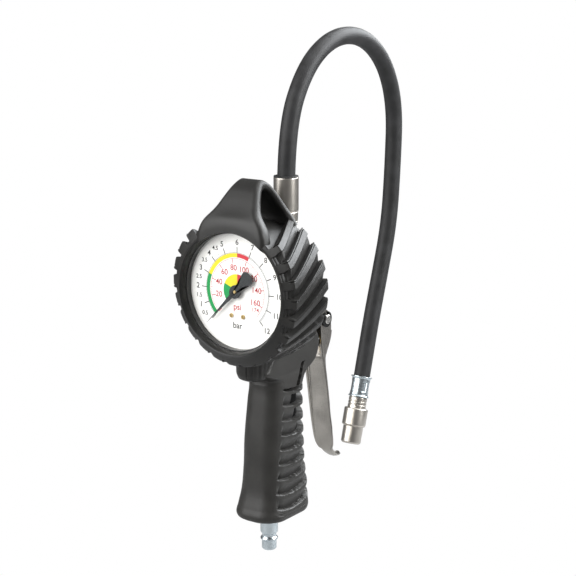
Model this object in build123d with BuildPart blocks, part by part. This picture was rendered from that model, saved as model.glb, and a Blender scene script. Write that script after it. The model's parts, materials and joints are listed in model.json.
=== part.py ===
from build123d import *
import math
import os

# Hand-held tyre inflator: pistol grip, squeeze lever, dial gauge in a ribbed rubber boot,
# short air hose with a push-on tyre chuck. Millimetres, +Z up, the dial faces -Y.
# The origin is the middle of the grip, on the axis of the inlet plug.

os.makedirs("parts", exist_ok=True)

# ---------------------------------------------------------------- driving dimensions
CLEAR = 0.3  # gap between pieces that move past each other
FIT = 0.05  # radial clearance of a running fit

# Gauge
GAUGE_HEIGHT = 115.0
DIAL_Y = -34.0
DIAL_RADIUS = 37.8
CASE_RADIUS = 39.5
CASE_WALL = 1.2
CASE_FRONT_Y = -38.5
CASE_BACK_Y = -5.0
BEZEL_FRONT_Y = -41.5
LENS_THICKNESS = 1.8
SCREW_SPACING = 9.3
SCREW_DROP = 16.3
SCALE_SWEEP = 270.0

# Boot
BOOT_FRONT_Y = -43.0
BOOT_BACK_Y = -1.5
NECK_FRONT = BOOT_BACK_Y + CLEAR
BOOT_RING_RADIUS = 44.5
BOOT_BORE = 40.75
RIB_ROOT_RADIUS = 43.2
RIB_TIP_RADIUS = 49.0
RIB_COUNT = 24
RIB_WIDTH = 5.0

# Grip: height, width, depth, middle in Y and corner radius of each section
GRIP_SECTIONS = (
    (-45.0, 35.5, 49.0, 3.8, 14.0),
    (-42.0, 37.0, 51.0, 3.8, 14.0),
    (-28.0, 33.0, 48.0, 6.3, 12.5),
    (8.0, 30.0, 43.0, 6.0, 12.0),
    (36.0, 28.0, 40.0, 7.5, 11.5),
    (53.5, 27.0, 38.5, 8.7, 11.0),
)
GROOVE_COUNT = 10
GROOVE_PITCH = 10.2
GROOVE_WIDTH = 4.2
GROOVE_DEPTH = 2.0
GROOVE_TILT = 20.0

# Valve body and air passages
STEM_RADIUS = 8.0
PASSAGE_RADIUS = 2.5
VALVE_HEIGHT = 63.5
VALVE_BORE_RADIUS = 5.0
GLAND_RADIUS = 3.9
COLUMN_Y = 20.0
COLUMN_RADIUS = 9.0
COLUMN_TOP = 147.0

# Lever
PIVOT_Y = 55.2
PIVOT_HEIGHT = 80.5
PIN_RADIUS = 3.2
LEVER_HALF = 8.5
LEVER_SHEET = 1.5
LUG_HALF = 6.7

# Hose and end fitting
HOSE_RADIUS = 6.0
HOSE_BORE = 3.0
FERRULE_RADIUS = 8.3
FERRULE_TOP = 183.0
HOSE_POINTS = (
    (0.0, 20.0, 170.0),
    (0.0, 20.0, 213.0),
    (0.0, 40.9, 251.2),
    (0.0, 73.1, 270.5),
    (0.0, 110.5, 270.5),
    (-1.0, 142.5, 251.3),
    (-2.0, 160.0, 218.2),
    (-3.5, 160.6, 172.4),
    (-4.5, 158.2, 130.9),
    (-5.5, 147.2, 92.9),
    (-6.0, 136.9, 60.4),
    (-6.0, 129.2, 34.1),
    (-6.0, 121.8, 10.1),
)
CHUCK_MOUTH_RADIUS = 4.1

# ---------------------------------------------------------------- helpers
GAUGE_AXIS = Axis((0, 0, GAUGE_HEIGHT), (0, 1, 0))
GRIP_AXIS = Axis((0, 0, 0), (0, 0, 1))
COLUMN_AXIS = Axis((0, COLUMN_Y, 0), (0, 0, 1))
VALVE_AXIS = Axis((0, 0, VALVE_HEIGHT), (0, 1, 0))


def gauge_plane(y):
    """A plane across the gauge axis at y, whose normal points to the user."""
    return Plane((0, y, GAUGE_HEIGHT), x_dir=(1, 0, 0), z_dir=(0, -1, 0))


def valve_plane(y):
    """A plane across the valve axis at y, whose normal points to the lever."""
    return Plane((0, y, VALVE_HEIGHT), x_dir=(-1, 0, 0), z_dir=(0, 1, 0))


def turn(points, axis, mode=Mode.ADD):
    """A turned shape from its half section in Y and Z."""
    with BuildSketch(Plane.YZ) as section:
        Polygon(*points, align=None)
    revolve(section.sketch, axis=axis, mode=mode)


def rod(plane, length, radius, bore=0.0, mode=Mode.ADD):
    """A round bar that starts at the plane, or a tube where it has a bore."""
    with BuildSketch(plane) as section:
        Circle(radius)
        if bore > 0:
            Circle(bore, mode=Mode.SUBTRACT)
    extrude(section.sketch, amount=length, mode=mode)


def wire_coil(plane, length, coil_radius, wire_radius, turns):
    """A helical wire spring that starts at the plane."""
    with BuildLine() as centre:
        Helix(length / turns, length, coil_radius, center=plane.origin, direction=plane.z_dir)
    path = centre.line
    with BuildSketch(Plane(origin=path @ 0, z_dir=path % 0)) as section:
        Circle(wire_radius)
    sweep(section.sketch, path=path, is_frenet=True)


def save(part, name):
    part.label = name
    export_step(part, "parts/" + name + ".step")


# ---------------------------------------------------------------- valve body and inlet
STEM_LOW = -42.0
HEAD_BACK = 40.0
HEAD_TOP = 73.5
ARM_LOW = 56.0
ARM_HIGH = 65.5
ARM_HALF = 9.0
SOCKET_Y = -17.0
COVER_SCREW_HEIGHTS = (92.0, 131.0)


def body_blank(mode=Mode.ADD):
    """The casting before it is drilled: stem, arm to the gauge, head and column to the hose."""
    rod(Plane.XY.offset(STEM_LOW), ARM_HIGH - STEM_LOW, STEM_RADIUS, mode=mode)
    with BuildSketch(Plane.XY.offset(ARM_LOW)) as arm:
        with Locations((0, SOCKET_Y)):
            Circle(ARM_HALF)
            Rectangle(2 * ARM_HALF, HEAD_BACK - SOCKET_Y, align=(Align.CENTER, Align.MIN))
    extrude(arm.sketch, amount=ARM_HIGH - ARM_LOW, mode=mode)
    with BuildSketch(Plane.XY.offset(ARM_LOW)) as head:
        Rectangle(2 * ARM_HALF, HEAD_BACK, align=(Align.CENTER, Align.MIN))
    extrude(head.sketch, amount=HEAD_TOP - ARM_LOW, mode=mode)
    rod(Plane.XY.offset(HEAD_TOP - 5).move(Location((0, COLUMN_Y, 0))), COLUMN_TOP - HEAD_TOP + 5,
        COLUMN_RADIUS, mode=mode)


CHAMBER_START = 0.5
SIDE_DRILL = 6.7
CROSS_DRILL_Y = 25.0

with BuildPart() as valve_body:
    body_blank()
    # air path: up the stem to the valve, then back along a side drilling to the gauge
    rod(Plane.XY.offset(STEM_LOW), 100, PASSAGE_RADIUS + 1, mode=Mode.SUBTRACT)
    rod(Plane.XY.offset(STEM_LOW), 16, 6.0, mode=Mode.SUBTRACT)
    rod(valve_plane(CHAMBER_START), 60, VALVE_BORE_RADIUS, mode=Mode.SUBTRACT)
    side = Plane((-SIDE_DRILL, SOCKET_Y, VALVE_HEIGHT - 3), z_dir=(0, 1, 0))
    rod(side, CROSS_DRILL_Y - SOCKET_Y, 1.3, mode=Mode.SUBTRACT)
    for y in (SOCKET_Y, CROSS_DRILL_Y):
        rod(Plane((-SIDE_DRILL, y, VALVE_HEIGHT - 3), z_dir=(1, 0, 0)), SIDE_DRILL, 1.3,
            mode=Mode.SUBTRACT)
    # and up the column to the hose
    rod(Plane((0, COLUMN_Y, VALVE_HEIGHT)), 90, PASSAGE_RADIUS, mode=Mode.SUBTRACT)
    rod(Plane((0, COLUMN_Y, COLUMN_TOP - 12)), 20, 5.0, mode=Mode.SUBTRACT)
    rod(Plane((0, SOCKET_Y, ARM_LOW + 1.5)), 20, 5.6, mode=Mode.SUBTRACT)
    # blind holes for the screws of the rear cover
    for height in COVER_SCREW_HEIGHTS:
        rod(Plane((0, COLUMN_Y + 4, height), z_dir=(0, 1, 0)), 8, 1.5, mode=Mode.SUBTRACT)
save(valve_body.part, "valve_body")

# Quick-connect inlet plug, turned to the usual coupling profile
with BuildPart() as inlet_plug:
    turn(
        ((0, -70.0), (4.1, -70.0), (5.0, -69.1), (5.0, -63.4), (5.9, -62.6),
         (6.0, -62.0), (5.7, -61.3), (4.9, -60.4), (4.9, -58.9), (6.0, -57.2), (6.0, -44.4),
         (7.4, -44.2), (7.4, -42.8), (5.95, -42.8), (5.95, -29.0), (5.4, -28.4), (0, -28.4)),
        GRIP_AXIS,
    )
    rod(Plane.XY.offset(-71), 44, 3.4, mode=Mode.SUBTRACT)
    rod(Plane.XY.offset(-31), 4, 4.4, mode=Mode.SUBTRACT)
save(inlet_plug.part, "inlet_plug")

# Washer between the plug's shoulder and the stem
with BuildPart() as plug_seal:
    rod(Plane.XY.offset(-42.8), 0.8, 7.4, bore=6.0)
save(plug_seal.part, "plug_seal")

# Sintered filter in the inner end of the plug
with BuildPart() as inlet_filter:
    turn(((0, -31.0), (4.35, -31.0), (4.35, -28.6), (3.0, -28.0), (2.6, -26.2), (0, -26.2)),
         GRIP_AXIS)
save(inlet_filter.part, "inlet_filter")


# ---------------------------------------------------------------- handle housing
def grip_loft(inset, mode=Mode.ADD):
    """The grip from its sections, all drawn in by the inset."""
    sections = []
    for height, width, depth, middle, corner in GRIP_SECTIONS:
        with BuildSketch(Plane.XY.offset(height)) as section:
            with Locations((0, middle)):
                RectangleRounded(width - 2 * inset, depth - 2 * inset, corner - inset)
        sections.append(section.sketch)
    loft(sections, mode=mode)


BOSS_END = 44.5
BOSS_HALF = 9.5
NECK_HALF = 12.0
NECK_BACK = 34.0
LUG_RADIUS = 6.3
COVER_LOW = 84.0

with BuildPart() as groove_cutter:
    grip_loft(0)
    grip_loft(GROOVE_DEPTH, mode=Mode.SUBTRACT)
    with BuildSketch(Plane.YZ.offset(-30)):
        for index in range(GROOVE_COUNT):
            with Locations(Location((22, GROOVE_PITCH * (index - 3.2)), GROOVE_TILT)):
                SlotOverall(50, GROOVE_WIDTH)
    extrude(amount=60, mode=Mode.INTERSECT)

with BuildPart() as grip_housing:
    grip_loft(0)
    add(groove_cutter.part, mode=Mode.SUBTRACT)
    # neck and boss that hold the valve body
    with BuildSketch(Plane.XY.offset(50)):
        with Locations((0, (NECK_FRONT + NECK_BACK) / 2)):
            RectangleRounded(2 * NECK_HALF, NECK_BACK - NECK_FRONT, 6)
    extrude(amount=26)
    with BuildSketch(Plane.YZ.offset(-BOSS_HALF)):
        Polygon((20, 54), (38, 56), (42, 57), (BOSS_END, 60), (BOSS_END, 70), (41, 76), (20, 76),
                align=None)
    extrude(amount=2 * BOSS_HALF)
    # pivot lug between the lever's ears
    with BuildSketch(Plane.YZ.offset(-LUG_HALF)):
        Polygon((28, 74), (28, COVER_LOW), (34, COVER_LOW), (38, 86.5),
                (PIVOT_Y, PIVOT_HEIGHT + LUG_RADIUS), (PIVOT_Y, PIVOT_HEIGHT - LUG_RADIUS),
                align=None)
        with Locations((PIVOT_Y, PIVOT_HEIGHT)):
            Circle(LUG_RADIUS)
            Circle(PIN_RADIUS, mode=Mode.SUBTRACT)
    extrude(amount=2 * LUG_HALF)
    # seat of the rear cover
    with BuildSketch(Plane.XY.offset(75)):
        with Locations((0, 17)):
            RectangleRounded(24, 32, 8)
    extrude(amount=COVER_LOW - 75)
    # room for the valve body, the plug and the gland
    body_blank(mode=Mode.SUBTRACT)
    rod(Plane.XY.offset(-50), 20, STEM_RADIUS, mode=Mode.SUBTRACT)
    rod(valve_plane(30), 30, VALVE_BORE_RADIUS, mode=Mode.SUBTRACT)
save(grip_housing.part, "grip_housing")

# Moulded cover over the column, held by two screws from the back
COVER_HIGH = 141.0
COVER_FRONT = 0.5
COVER_BACK = 32.5

with BuildPart() as rear_cover:
    with BuildSketch(Plane.XY.offset(COVER_LOW)):
        with Locations((0, (COVER_FRONT + COVER_BACK) / 2)):
            RectangleRounded(23.5, COVER_BACK - COVER_FRONT, 8)
    extrude(amount=COVER_HIGH - COVER_LOW)
    fillet(rear_cover.faces().sort_by(Axis.Z)[-1].edges(), 4)
    rod(Plane((0, COLUMN_Y, COVER_LOW - 1)), 80, COLUMN_RADIUS, mode=Mode.SUBTRACT)
    for height in COVER_SCREW_HEIGHTS:
        rod(Plane((0, COLUMN_Y, height), z_dir=(0, 1, 0)), 20, 1.7, mode=Mode.SUBTRACT)
        rod(Plane((0, COVER_BACK - 2.5, height), z_dir=(0, 1, 0)), 5, 3.1, mode=Mode.SUBTRACT)
save(rear_cover.part, "rear_cover")

with BuildPart() as cover_screws:
    for height in COVER_SCREW_HEIGHTS:
        rod(Plane((0, COLUMN_Y + 4.5, height), z_dir=(0, 1, 0)), COVER_BACK - COLUMN_Y - 7, 1.45)
        rod(Plane((0, COVER_BACK - 2.5, height), z_dir=(0, 1, 0)), 1.8, 2.9)
        rod(Plane((0, COVER_BACK - 1.7, height), z_dir=(0, 1, 0)), 3, 1.2, mode=Mode.SUBTRACT)
save(cover_screws.part, "cover_screws")

# ---------------------------------------------------------------- valve
PLUNGER_TIP = 60.2
SEAT_Y = 14.0

with BuildPart() as valve_gland:
    rod(valve_plane(30), 14, VALVE_BORE_RADIUS)
    rod(valve_plane(44), 9, GLAND_RADIUS)
    rod(valve_plane(25), 40, 2.0 + FIT, mode=Mode.SUBTRACT)
    rod(valve_plane(33), 2.2, 3.3, mode=Mode.SUBTRACT)
save(valve_gland.part, "valve_gland")

with BuildPart() as gland_seal:
    with BuildSketch(Plane.YZ):
        with Locations((34.1, VALVE_HEIGHT + 2.68)):
            Circle(0.6)
    revolve(axis=VALVE_AXIS)
save(gland_seal.part, "gland_seal")

with BuildPart() as valve_seat:
    rod(valve_plane(SEAT_Y), 3, VALVE_BORE_RADIUS, bore=2.7)
save(valve_seat.part, "valve_seat")

with BuildPart() as valve_plunger:
    rod(valve_plane(SEAT_Y - 5), 3, 4.3)
    rod(valve_plane(SEAT_Y - 5), PLUNGER_TIP - SEAT_Y + 5, 2.0)
save(valve_plunger.part, "valve_plunger")

with BuildPart() as poppet_seal:
    rod(valve_plane(SEAT_Y - 2), 1.95, 4.3, bore=2.0)
save(poppet_seal.part, "poppet_seal")

with BuildPart() as valve_spring:
    wire_coil(valve_plane(CHAMBER_START + 0.5), SEAT_Y - 6.5 - CHAMBER_START, 3.3, 0.4, 4)
save(valve_spring.part, "valve_spring")

# ---------------------------------------------------------------- lever
# Outer face of the web and front edge of the sides, as Y and height
LEVER_BACK = ((58.0, 87.6), (63.0, 83.5), (65.0, 76.0), (64.8, 69.0), (61.9, 61.6), (57.4, 52.5),
              (58.4, 43.0), (60.4, 32.0), (64.4, 5.6), (66.6, -6.0), (69.4, -17.5))
LEVER_FRONT = ((67.8, -17.8), (67.2, -10.0), (62.6, 6.0), (57.4, 32.7), (52.4, 53.0), (50.4, 64.0),
               (49.6, 76.0), (50.6, 84.5))
LIP = ((67.8, -16.5), (69.5, -16.0), (72.5, -19.0), (77.0, -22.6), (82.0, -24.0), (85.0, -23.0),
       (85.2, -24.2), (81.8, -25.4), (76.2, -24.0), (71.0, -20.2))

WEB_TOP = 70.0

with BuildPart() as lever_room:
    # what is left open between the two sides, in front of the web
    with BuildSketch(Plane.YZ.offset(-LEVER_HALF + LEVER_SHEET)):
        with BuildLine():
            back = Spline(*[(y - LEVER_SHEET, z) for y, z in LEVER_BACK[1:]])
            Polyline(back @ 1, (30, -30), (30, 95), (LEVER_BACK[0][0], 95), back @ 0)
        make_face()
        # the web stops below the pivot lug
        with Locations((PIVOT_Y, WEB_TOP)):
            Rectangle(40, 40, align=(Align.CENTER, Align.MIN))
    extrude(amount=2 * (LEVER_HALF - LEVER_SHEET))

with BuildPart() as lever:
    with BuildSketch(Plane.YZ.offset(-LEVER_HALF)):
        with BuildLine():
            back = Spline(*LEVER_BACK)
            front = Spline(*LEVER_FRONT)
            Line(back @ 1, front @ 0)
            ThreePointArc(front @ 1, (54.0, 88.4), back @ 0)
        make_face()
    extrude(amount=2 * LEVER_HALF)
    add(lever_room.part, mode=Mode.SUBTRACT)
    with BuildSketch(Plane.YZ.offset(-LEVER_HALF)):
        Polygon(*LIP, align=None)
    extrude(amount=2 * LEVER_HALF)
    # the plan of the pressing: it narrows and ends in a round tip
    with BuildSketch(Plane.XZ.offset(-100)):
        Polygon((-LEVER_HALF, 95), (-LEVER_HALF, 8), (-6.8, -8), (-6.0, -17), (-4.5, -22), (-2, -27),
                (2, -27), (4.5, -22), (6.0, -17), (6.8, -8), (LEVER_HALF, 8), (LEVER_HALF, 95),
                align=None)
    extrude(amount=100, mode=Mode.INTERSECT)
    rod(Plane((-20, PIVOT_Y, PIVOT_HEIGHT), z_dir=(1, 0, 0)), 40, PIN_RADIUS + FIT,
        mode=Mode.SUBTRACT)
save(lever.part, "lever")

CLIP_INNER_X = LEVER_HALF + CLEAR
CLIP_THICKNESS = 1.0

with BuildPart() as lever_pin:
    rod(Plane((-11, PIVOT_Y, PIVOT_HEIGHT), z_dir=(1, 0, 0)), 22, PIN_RADIUS)
    for side in (-1, 1):
        start = side * (CLIP_INNER_X + CLIP_THICKNESS / 2) - CLIP_THICKNESS / 2
        rod(Plane((start, PIVOT_Y, PIVOT_HEIGHT), z_dir=(1, 0, 0)), CLIP_THICKNESS, 4.0, bore=2.6,
            mode=Mode.SUBTRACT)
    chamfer(lever_pin.edges().group_by(Axis.X)[0] + lever_pin.edges().group_by(Axis.X)[-1], 0.4)
save(lever_pin.part, "lever_pin")

with BuildPart() as retaining_clips:
    for side in (-1, 1):
        start = side * (CLIP_INNER_X + CLIP_THICKNESS / 2) - CLIP_THICKNESS / 2
        with BuildSketch(Plane((start, PIVOT_Y, PIVOT_HEIGHT), z_dir=(1, 0, 0))):
            Circle(5.5)
            Circle(2.6, mode=Mode.SUBTRACT)
            with Locations((5, 0)):
                Rectangle(8, 3.6, mode=Mode.SUBTRACT)
        extrude(amount=CLIP_THICKNESS)
save(retaining_clips.part, "retaining_clips")

# ---------------------------------------------------------------- gauge

def ring_about_gauge(points, mode=Mode.ADD):
    """A turned shape about the gauge axis, from (Y, radius) points."""
    turn([(y, GAUGE_HEIGHT + radius) for y, radius in points], GAUGE_AXIS, mode=mode)


with BuildPart() as gauge_case:
    inner = CASE_RADIUS - CASE_WALL
    ring_about_gauge(((CASE_FRONT_Y, CASE_RADIUS), (CASE_BACK_Y, CASE_RADIUS), (CASE_BACK_Y, 0),
                      (CASE_BACK_Y - CASE_WALL, 0), (CASE_BACK_Y - CASE_WALL, inner),
                      (CASE_FRONT_Y, inner)))
    rod(Plane((0, SOCKET_Y, 66)), 15, 6.35, mode=Mode.SUBTRACT)
save(gauge_case.part, "gauge_case")

with BuildPart() as lens_gasket:
    rod(gauge_plane(CASE_FRONT_Y), 0.6, CASE_RADIUS, bore=CASE_RADIUS - CASE_WALL)
save(lens_gasket.part, "lens_gasket")

with BuildPart() as gauge_lens:
    rod(gauge_plane(CASE_FRONT_Y - 0.6), LENS_THICKNESS, CASE_RADIUS)
save(gauge_lens.part, "gauge_lens")

with BuildPart() as bezel_ring:
    lens_front = CASE_FRONT_Y - 0.6 - LENS_THICKNESS
    ring_about_gauge(((lens_front, 37.9), (BEZEL_FRONT_Y, 37.9), (BEZEL_FRONT_Y, BOOT_BORE - 0.05),
                      (CASE_FRONT_Y + 3, BOOT_BORE - 0.05), (CASE_FRONT_Y + 3, CASE_RADIUS),
                      (lens_front, CASE_RADIUS)))
save(bezel_ring.part, "bezel_ring")

SCREW_PLACES = [(-SCREW_SPACING / 2, -SCREW_DROP), (SCREW_SPACING / 2, -SCREW_DROP)]
DIAL_THICKNESS = 0.6

with BuildPart() as dial:
    with BuildSketch(gauge_plane(DIAL_Y + DIAL_THICKNESS)):
        Circle(DIAL_RADIUS)
        Circle(1.6, mode=Mode.SUBTRACT)
        with Locations(*SCREW_PLACES):
            Circle(0.85, mode=Mode.SUBTRACT)
    extrude(amount=DIAL_THICKNESS)
save(dial.part, "dial")

PLATE_FRONT_Y = -31.5
PLATE_BACK_Y = -20.0
PLATE_THICKNESS = 1.0
PILLAR_X = 7.5
SECTOR_DROP = 12.0
ARBOR_RADIUS = 0.8
TUBE_RADIUS = 27.0

with BuildPart() as dial_screws:
    for x, z in SCREW_PLACES:
        head = Plane((x, DIAL_Y, GAUGE_HEIGHT + z), z_dir=(0, -1, 0))
        rod(head, 0.8, 1.4)
        rod(head, -2.2, 0.8)
        with BuildSketch(head.offset(0.5)):
            Rectangle(4, 0.45, rotation=35)
        extrude(amount=1, mode=Mode.SUBTRACT)
save(dial_screws.part, "dial_screws")

# Two plates and their pillars carry the movement
with BuildPart() as movement_frame:
    for front in (PLATE_FRONT_Y, PLATE_BACK_Y):
        with BuildSketch(gauge_plane(front)):
            with Locations((0, -7)):
                RectangleRounded(22, 27, 3)
            Circle(ARBOR_RADIUS + FIT, mode=Mode.SUBTRACT)
            with Locations((0, -SECTOR_DROP)):
                Circle(ARBOR_RADIUS + FIT, mode=Mode.SUBTRACT)
            with Locations(*SCREW_PLACES):
                Circle(0.8, mode=Mode.SUBTRACT)
        extrude(amount=PLATE_THICKNESS)
    for x, z in ((-9.5, 4), (9.5, 4), (-9.5, -18.8), (9.5, -18.8)):
        rod(Plane((x, PLATE_FRONT_Y, GAUGE_HEIGHT + z), z_dir=(0, 1, 0)),
            PLATE_BACK_Y - PLATE_FRONT_Y - PLATE_THICKNESS, 1.2)
save(movement_frame.part, "movement_frame")

with BuildPart() as pointer_arbor:
    rod(gauge_plane(PLATE_BACK_Y + 0.6), 17.6, ARBOR_RADIUS)
    rod(gauge_plane(-23.0), 3, 1.1)
save(pointer_arbor.part, "pointer_arbor")

with BuildPart() as sector_gear:
    shaft = Plane((0, PLATE_BACK_Y + 0.6, GAUGE_HEIGHT - SECTOR_DROP), x_dir=(1, 0, 0),
                  z_dir=(0, -1, 0))
    rod(shaft, 13.0, ARBOR_RADIUS)
    with BuildSketch(shaft.offset(4.6)):
        Circle(2.2)
        with BuildLine():
            PolarLine((0, 0), 10.7, 57)
            CenterArc((0, 0), 10.7, 57, 38)
            PolarLine((0, 0), 10.7, 95)
        make_face()
        with Locations((-4.2, 0)):
            SlotOverall(11, 2.4)
    extrude(amount=1.4)
save(sector_gear.part, "sector_gear")

with BuildPart() as hairspring:
    with BuildSketch(gauge_plane(-27.6)):
        with BuildLine():
            turns = 3
            steps = 12 * turns
            Spline(*[
                ((1.6 + 4.2 * i / steps) * math.cos(math.radians(30 * i)),
                 (1.6 + 4.2 * i / steps) * math.sin(math.radians(30 * i)))
                for i in range(steps + 1)
            ])
        trace(line_width=0.2)
    extrude(amount=0.6)
save(hairspring.part, "hairspring")

TUBE_START = -66.0
TUBE_SWEEP = 250.0
TUBE_HALF_WIDTH = 1.7
TUBE_HALF_DEPTH = 4.5


def tube_section(angle):
    """The plane across the pressure tube at an angle round the gauge, X pointing outwards."""
    turned = math.radians(angle)
    return Plane((0, SOCKET_Y, GAUGE_HEIGHT), x_dir=(math.cos(turned), 0, math.sin(turned)),
                 z_dir=(math.sin(turned), 0, -math.cos(turned)))


# Flattened tube that uncurls under pressure, with a closed tip
with BuildPart() as bourdon_tube:
    with BuildSketch(tube_section(TUBE_START)):
        with Locations((TUBE_RADIUS, 0)):
            Ellipse(TUBE_HALF_WIDTH, TUBE_HALF_DEPTH)
            Ellipse(TUBE_HALF_WIDTH - 0.5, TUBE_HALF_DEPTH - 0.5, mode=Mode.SUBTRACT)
    revolve(axis=GAUGE_AXIS, revolution_arc=-TUBE_SWEEP)
    with BuildSketch(tube_section(TUBE_START + TUBE_SWEEP)):
        with Locations((TUBE_RADIUS, 0.7)):
            Rectangle(4, 11.4)
    extrude(amount=-2.5)
save(bourdon_tube.part, "bourdon_tube")

# Link from the tube's tip to the sector's tail
LINK_Y = -23.4
with BuildPart() as movement_link:
    with BuildSketch(gauge_plane(LINK_Y)):
        with BuildLine():
            Line((-26.5, -3.0), (-8.5, -SECTOR_DROP))
        trace(line_width=1.8)
    extrude(amount=0.4)
save(movement_link.part, "movement_link")

with BuildPart() as gauge_socket:
    rod(Plane((0, SOCKET_Y, ARM_LOW + 2)), 10.6, 5.5)
    rod(Plane((0, SOCKET_Y, ARM_HIGH + 1.0)), 14, 6.3)
    with BuildSketch(Plane.XY.offset(GAUGE_HEIGHT - 35.5)):
        with Locations((0, SOCKET_Y)):
            Rectangle(26, 10)
    extrude(amount=12)
    with BuildSketch(Plane.XY.offset(GAUGE_HEIGHT - 28)):
        with Locations((0, PLATE_BACK_Y + 1.5)):
            Rectangle(20, 3)
    extrude(amount=12)
    # slot that the tube is brazed into, and the air hole up to it
    with BuildSketch(tube_section(TUBE_START)) as slot:
        with Locations((TUBE_RADIUS, 0)):
            Ellipse(TUBE_HALF_WIDTH, TUBE_HALF_DEPTH)
    revolve(slot.sketch, axis=GAUGE_AXIS, revolution_arc=-30, mode=Mode.SUBTRACT)
    rod(Plane((0, SOCKET_Y, ARM_LOW)), 25, 1.5, mode=Mode.SUBTRACT)
save(gauge_socket.part, "gauge_socket")

with BuildPart() as socket_seal:
    rod(Plane((0, SOCKET_Y, ARM_HIGH)), 1.0, 7.5, bore=5.6)
save(socket_seal.part, "socket_seal")

# Pointer: long needle towards zero, spade tail on the other side
POINTER_Y = DIAL_Y - 2.2
ZERO_ANGLE = -90 - (360 - SCALE_SWEEP) / 2

with BuildPart() as pointer:
    with BuildSketch(gauge_plane(POINTER_Y)):
        with Locations(Location((0, 0), ZERO_ANGLE)):
            Circle(3.9)
            Polygon((0, -1.1), (32, -0.3), (32, 0.3), (0, 1.1), align=None)
            Polygon((0, -1.9), (0, 1.9), (-7, 2.4), (-15, 5.2), (-17, 3), (-17.6, 0), (-17, -3),
                    (-15, -5.2), (-7, -2.4), align=None)
        Circle(ARBOR_RADIUS, mode=Mode.SUBTRACT)
    extrude(amount=0.7)
save(pointer.part, "pointer")

# ---------------------------------------------------------------- rubber boot
HOOD_OUTER = ((-42.0, 148.0), (-41.5, 156.0), (-37.5, 165.0), (-31.0, 174.5), (-24.0, 182.0),
              (-18.5, 185.0), (-13.0, 183.0), (-8.5, 177.5), (-4.5, 169.0), (-1.8, 161.0))
HOOD_INNER = ((-31.0, 158.0), (-29.0, 163.0), (-25.5, 170.0), (-21.0, 176.0), (-16.5, 178.6),
              (-12.5, 176.0), (-9.0, 169.5), (-6.0, 162.5), (-5.0, 158.0))
HOOD_PLAN = ((-30, 140), (-29.5, 150), (-26.5, 156), (-19, 165.5), (-15, 174), (-12.8, 181),
             (-10.5, 184.5), (-7, 186), (7, 186), (10.5, 184.5), (12.8, 181), (15, 174),
             (19, 165.5), (26.5, 156), (29.5, 150), (30, 140))

with BuildPart() as hood:
    with BuildSketch(Plane.YZ.offset(-40)):
        with BuildLine():
            crown = Spline(*HOOD_OUTER)
            Polyline(crown @ 1, (-1.8, 145), (-42, 145), crown @ 0)
        make_face()
    extrude(amount=80)
    with BuildSketch(Plane.XZ.offset(-20)):
        Polygon(*HOOD_PLAN, align=None)
    extrude(amount=80, mode=Mode.INTERSECT)
    rod(gauge_plane(10), 60, BOOT_RING_RADIUS - 1, mode=Mode.SUBTRACT)

LUMP_FRONT = -32.5
LUMP_HALF = 13.0

with BuildPart() as gauge_boot:
    ring_about_gauge(((BOOT_FRONT_Y, 38.2), (BOOT_FRONT_Y, 43.0), (BOOT_FRONT_Y + 1.5, 44.5),
                      (BOOT_BACK_Y - 1.5, 44.5), (BOOT_BACK_Y, 43.0), (BOOT_BACK_Y, 30.0),
                      (CASE_BACK_Y, 30.0), (CASE_BACK_Y, CASE_RADIUS),
                      (CASE_FRONT_Y + 3, CASE_RADIUS), (CASE_FRONT_Y + 3, BOOT_BORE),
                      (BEZEL_FRONT_Y, BOOT_BORE), (BEZEL_FRONT_Y, 38.2)))
    with BuildSketch(gauge_plane(BOOT_BACK_Y - 0.5)):
        with PolarLocations((RIB_ROOT_RADIUS + RIB_TIP_RADIUS) / 2, RIB_COUNT,
                            start_angle=180 / RIB_COUNT):
            Trapezoid(RIB_WIDTH, RIB_TIP_RADIUS - RIB_ROOT_RADIUS, 75, rotation=-90)
    extrude(amount=BOOT_BACK_Y - 0.5 - BOOT_FRONT_Y - 3)
    add(hood.part)
    with BuildSketch(Plane.XY.offset(53.8)):
        with Locations((0, LUMP_FRONT + 25)):
            RectangleRounded(2 * LUMP_HALF, 50, 9)
        with Locations((0, BOOT_BACK_Y)):
            Rectangle(60, 60, align=(Align.CENTER, Align.MIN), mode=Mode.SUBTRACT)
    extrude(amount=20)
    # hanging loop, and room for the casting's arm and the gauge
    with BuildSketch(Plane.YZ.offset(-40)):
        with BuildLine():
            loop = Spline(*HOOD_INNER)
            Line(loop @ 1, loop @ 0)
        make_face()
    extrude(amount=80, mode=Mode.SUBTRACT)
    body_blank(mode=Mode.SUBTRACT)
    rod(Plane((0, SOCKET_Y, ARM_HIGH - 1)), 14, 7.6, mode=Mode.SUBTRACT)
    rod(gauge_plane(CASE_BACK_Y), 30, CASE_RADIUS, mode=Mode.SUBTRACT)
save(gauge_boot.part, "gauge_boot")

# ---------------------------------------------------------------- hose outlet
COLLAR_LOW = 151.0
SLEEVE_LOW = 159.0
HOSE_START = HOSE_POINTS[0][2]
TAIL_RADIUS = 2.95

with BuildPart() as outlet_union:
    rod(Plane((0, COLUMN_Y, COLUMN_TOP - 11.5)), 22, 5.0)
    with BuildSketch(Plane.XY.offset(COLUMN_TOP)):
        with Locations((0, COLUMN_Y)):
            RegularPolygon(7.6, 6)
    extrude(amount=COLLAR_LOW - COLUMN_TOP)
    rod(Plane((0, COLUMN_Y, 120)), 60, 1.8, mode=Mode.SUBTRACT)
save(outlet_union.part, "outlet_union")

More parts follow.
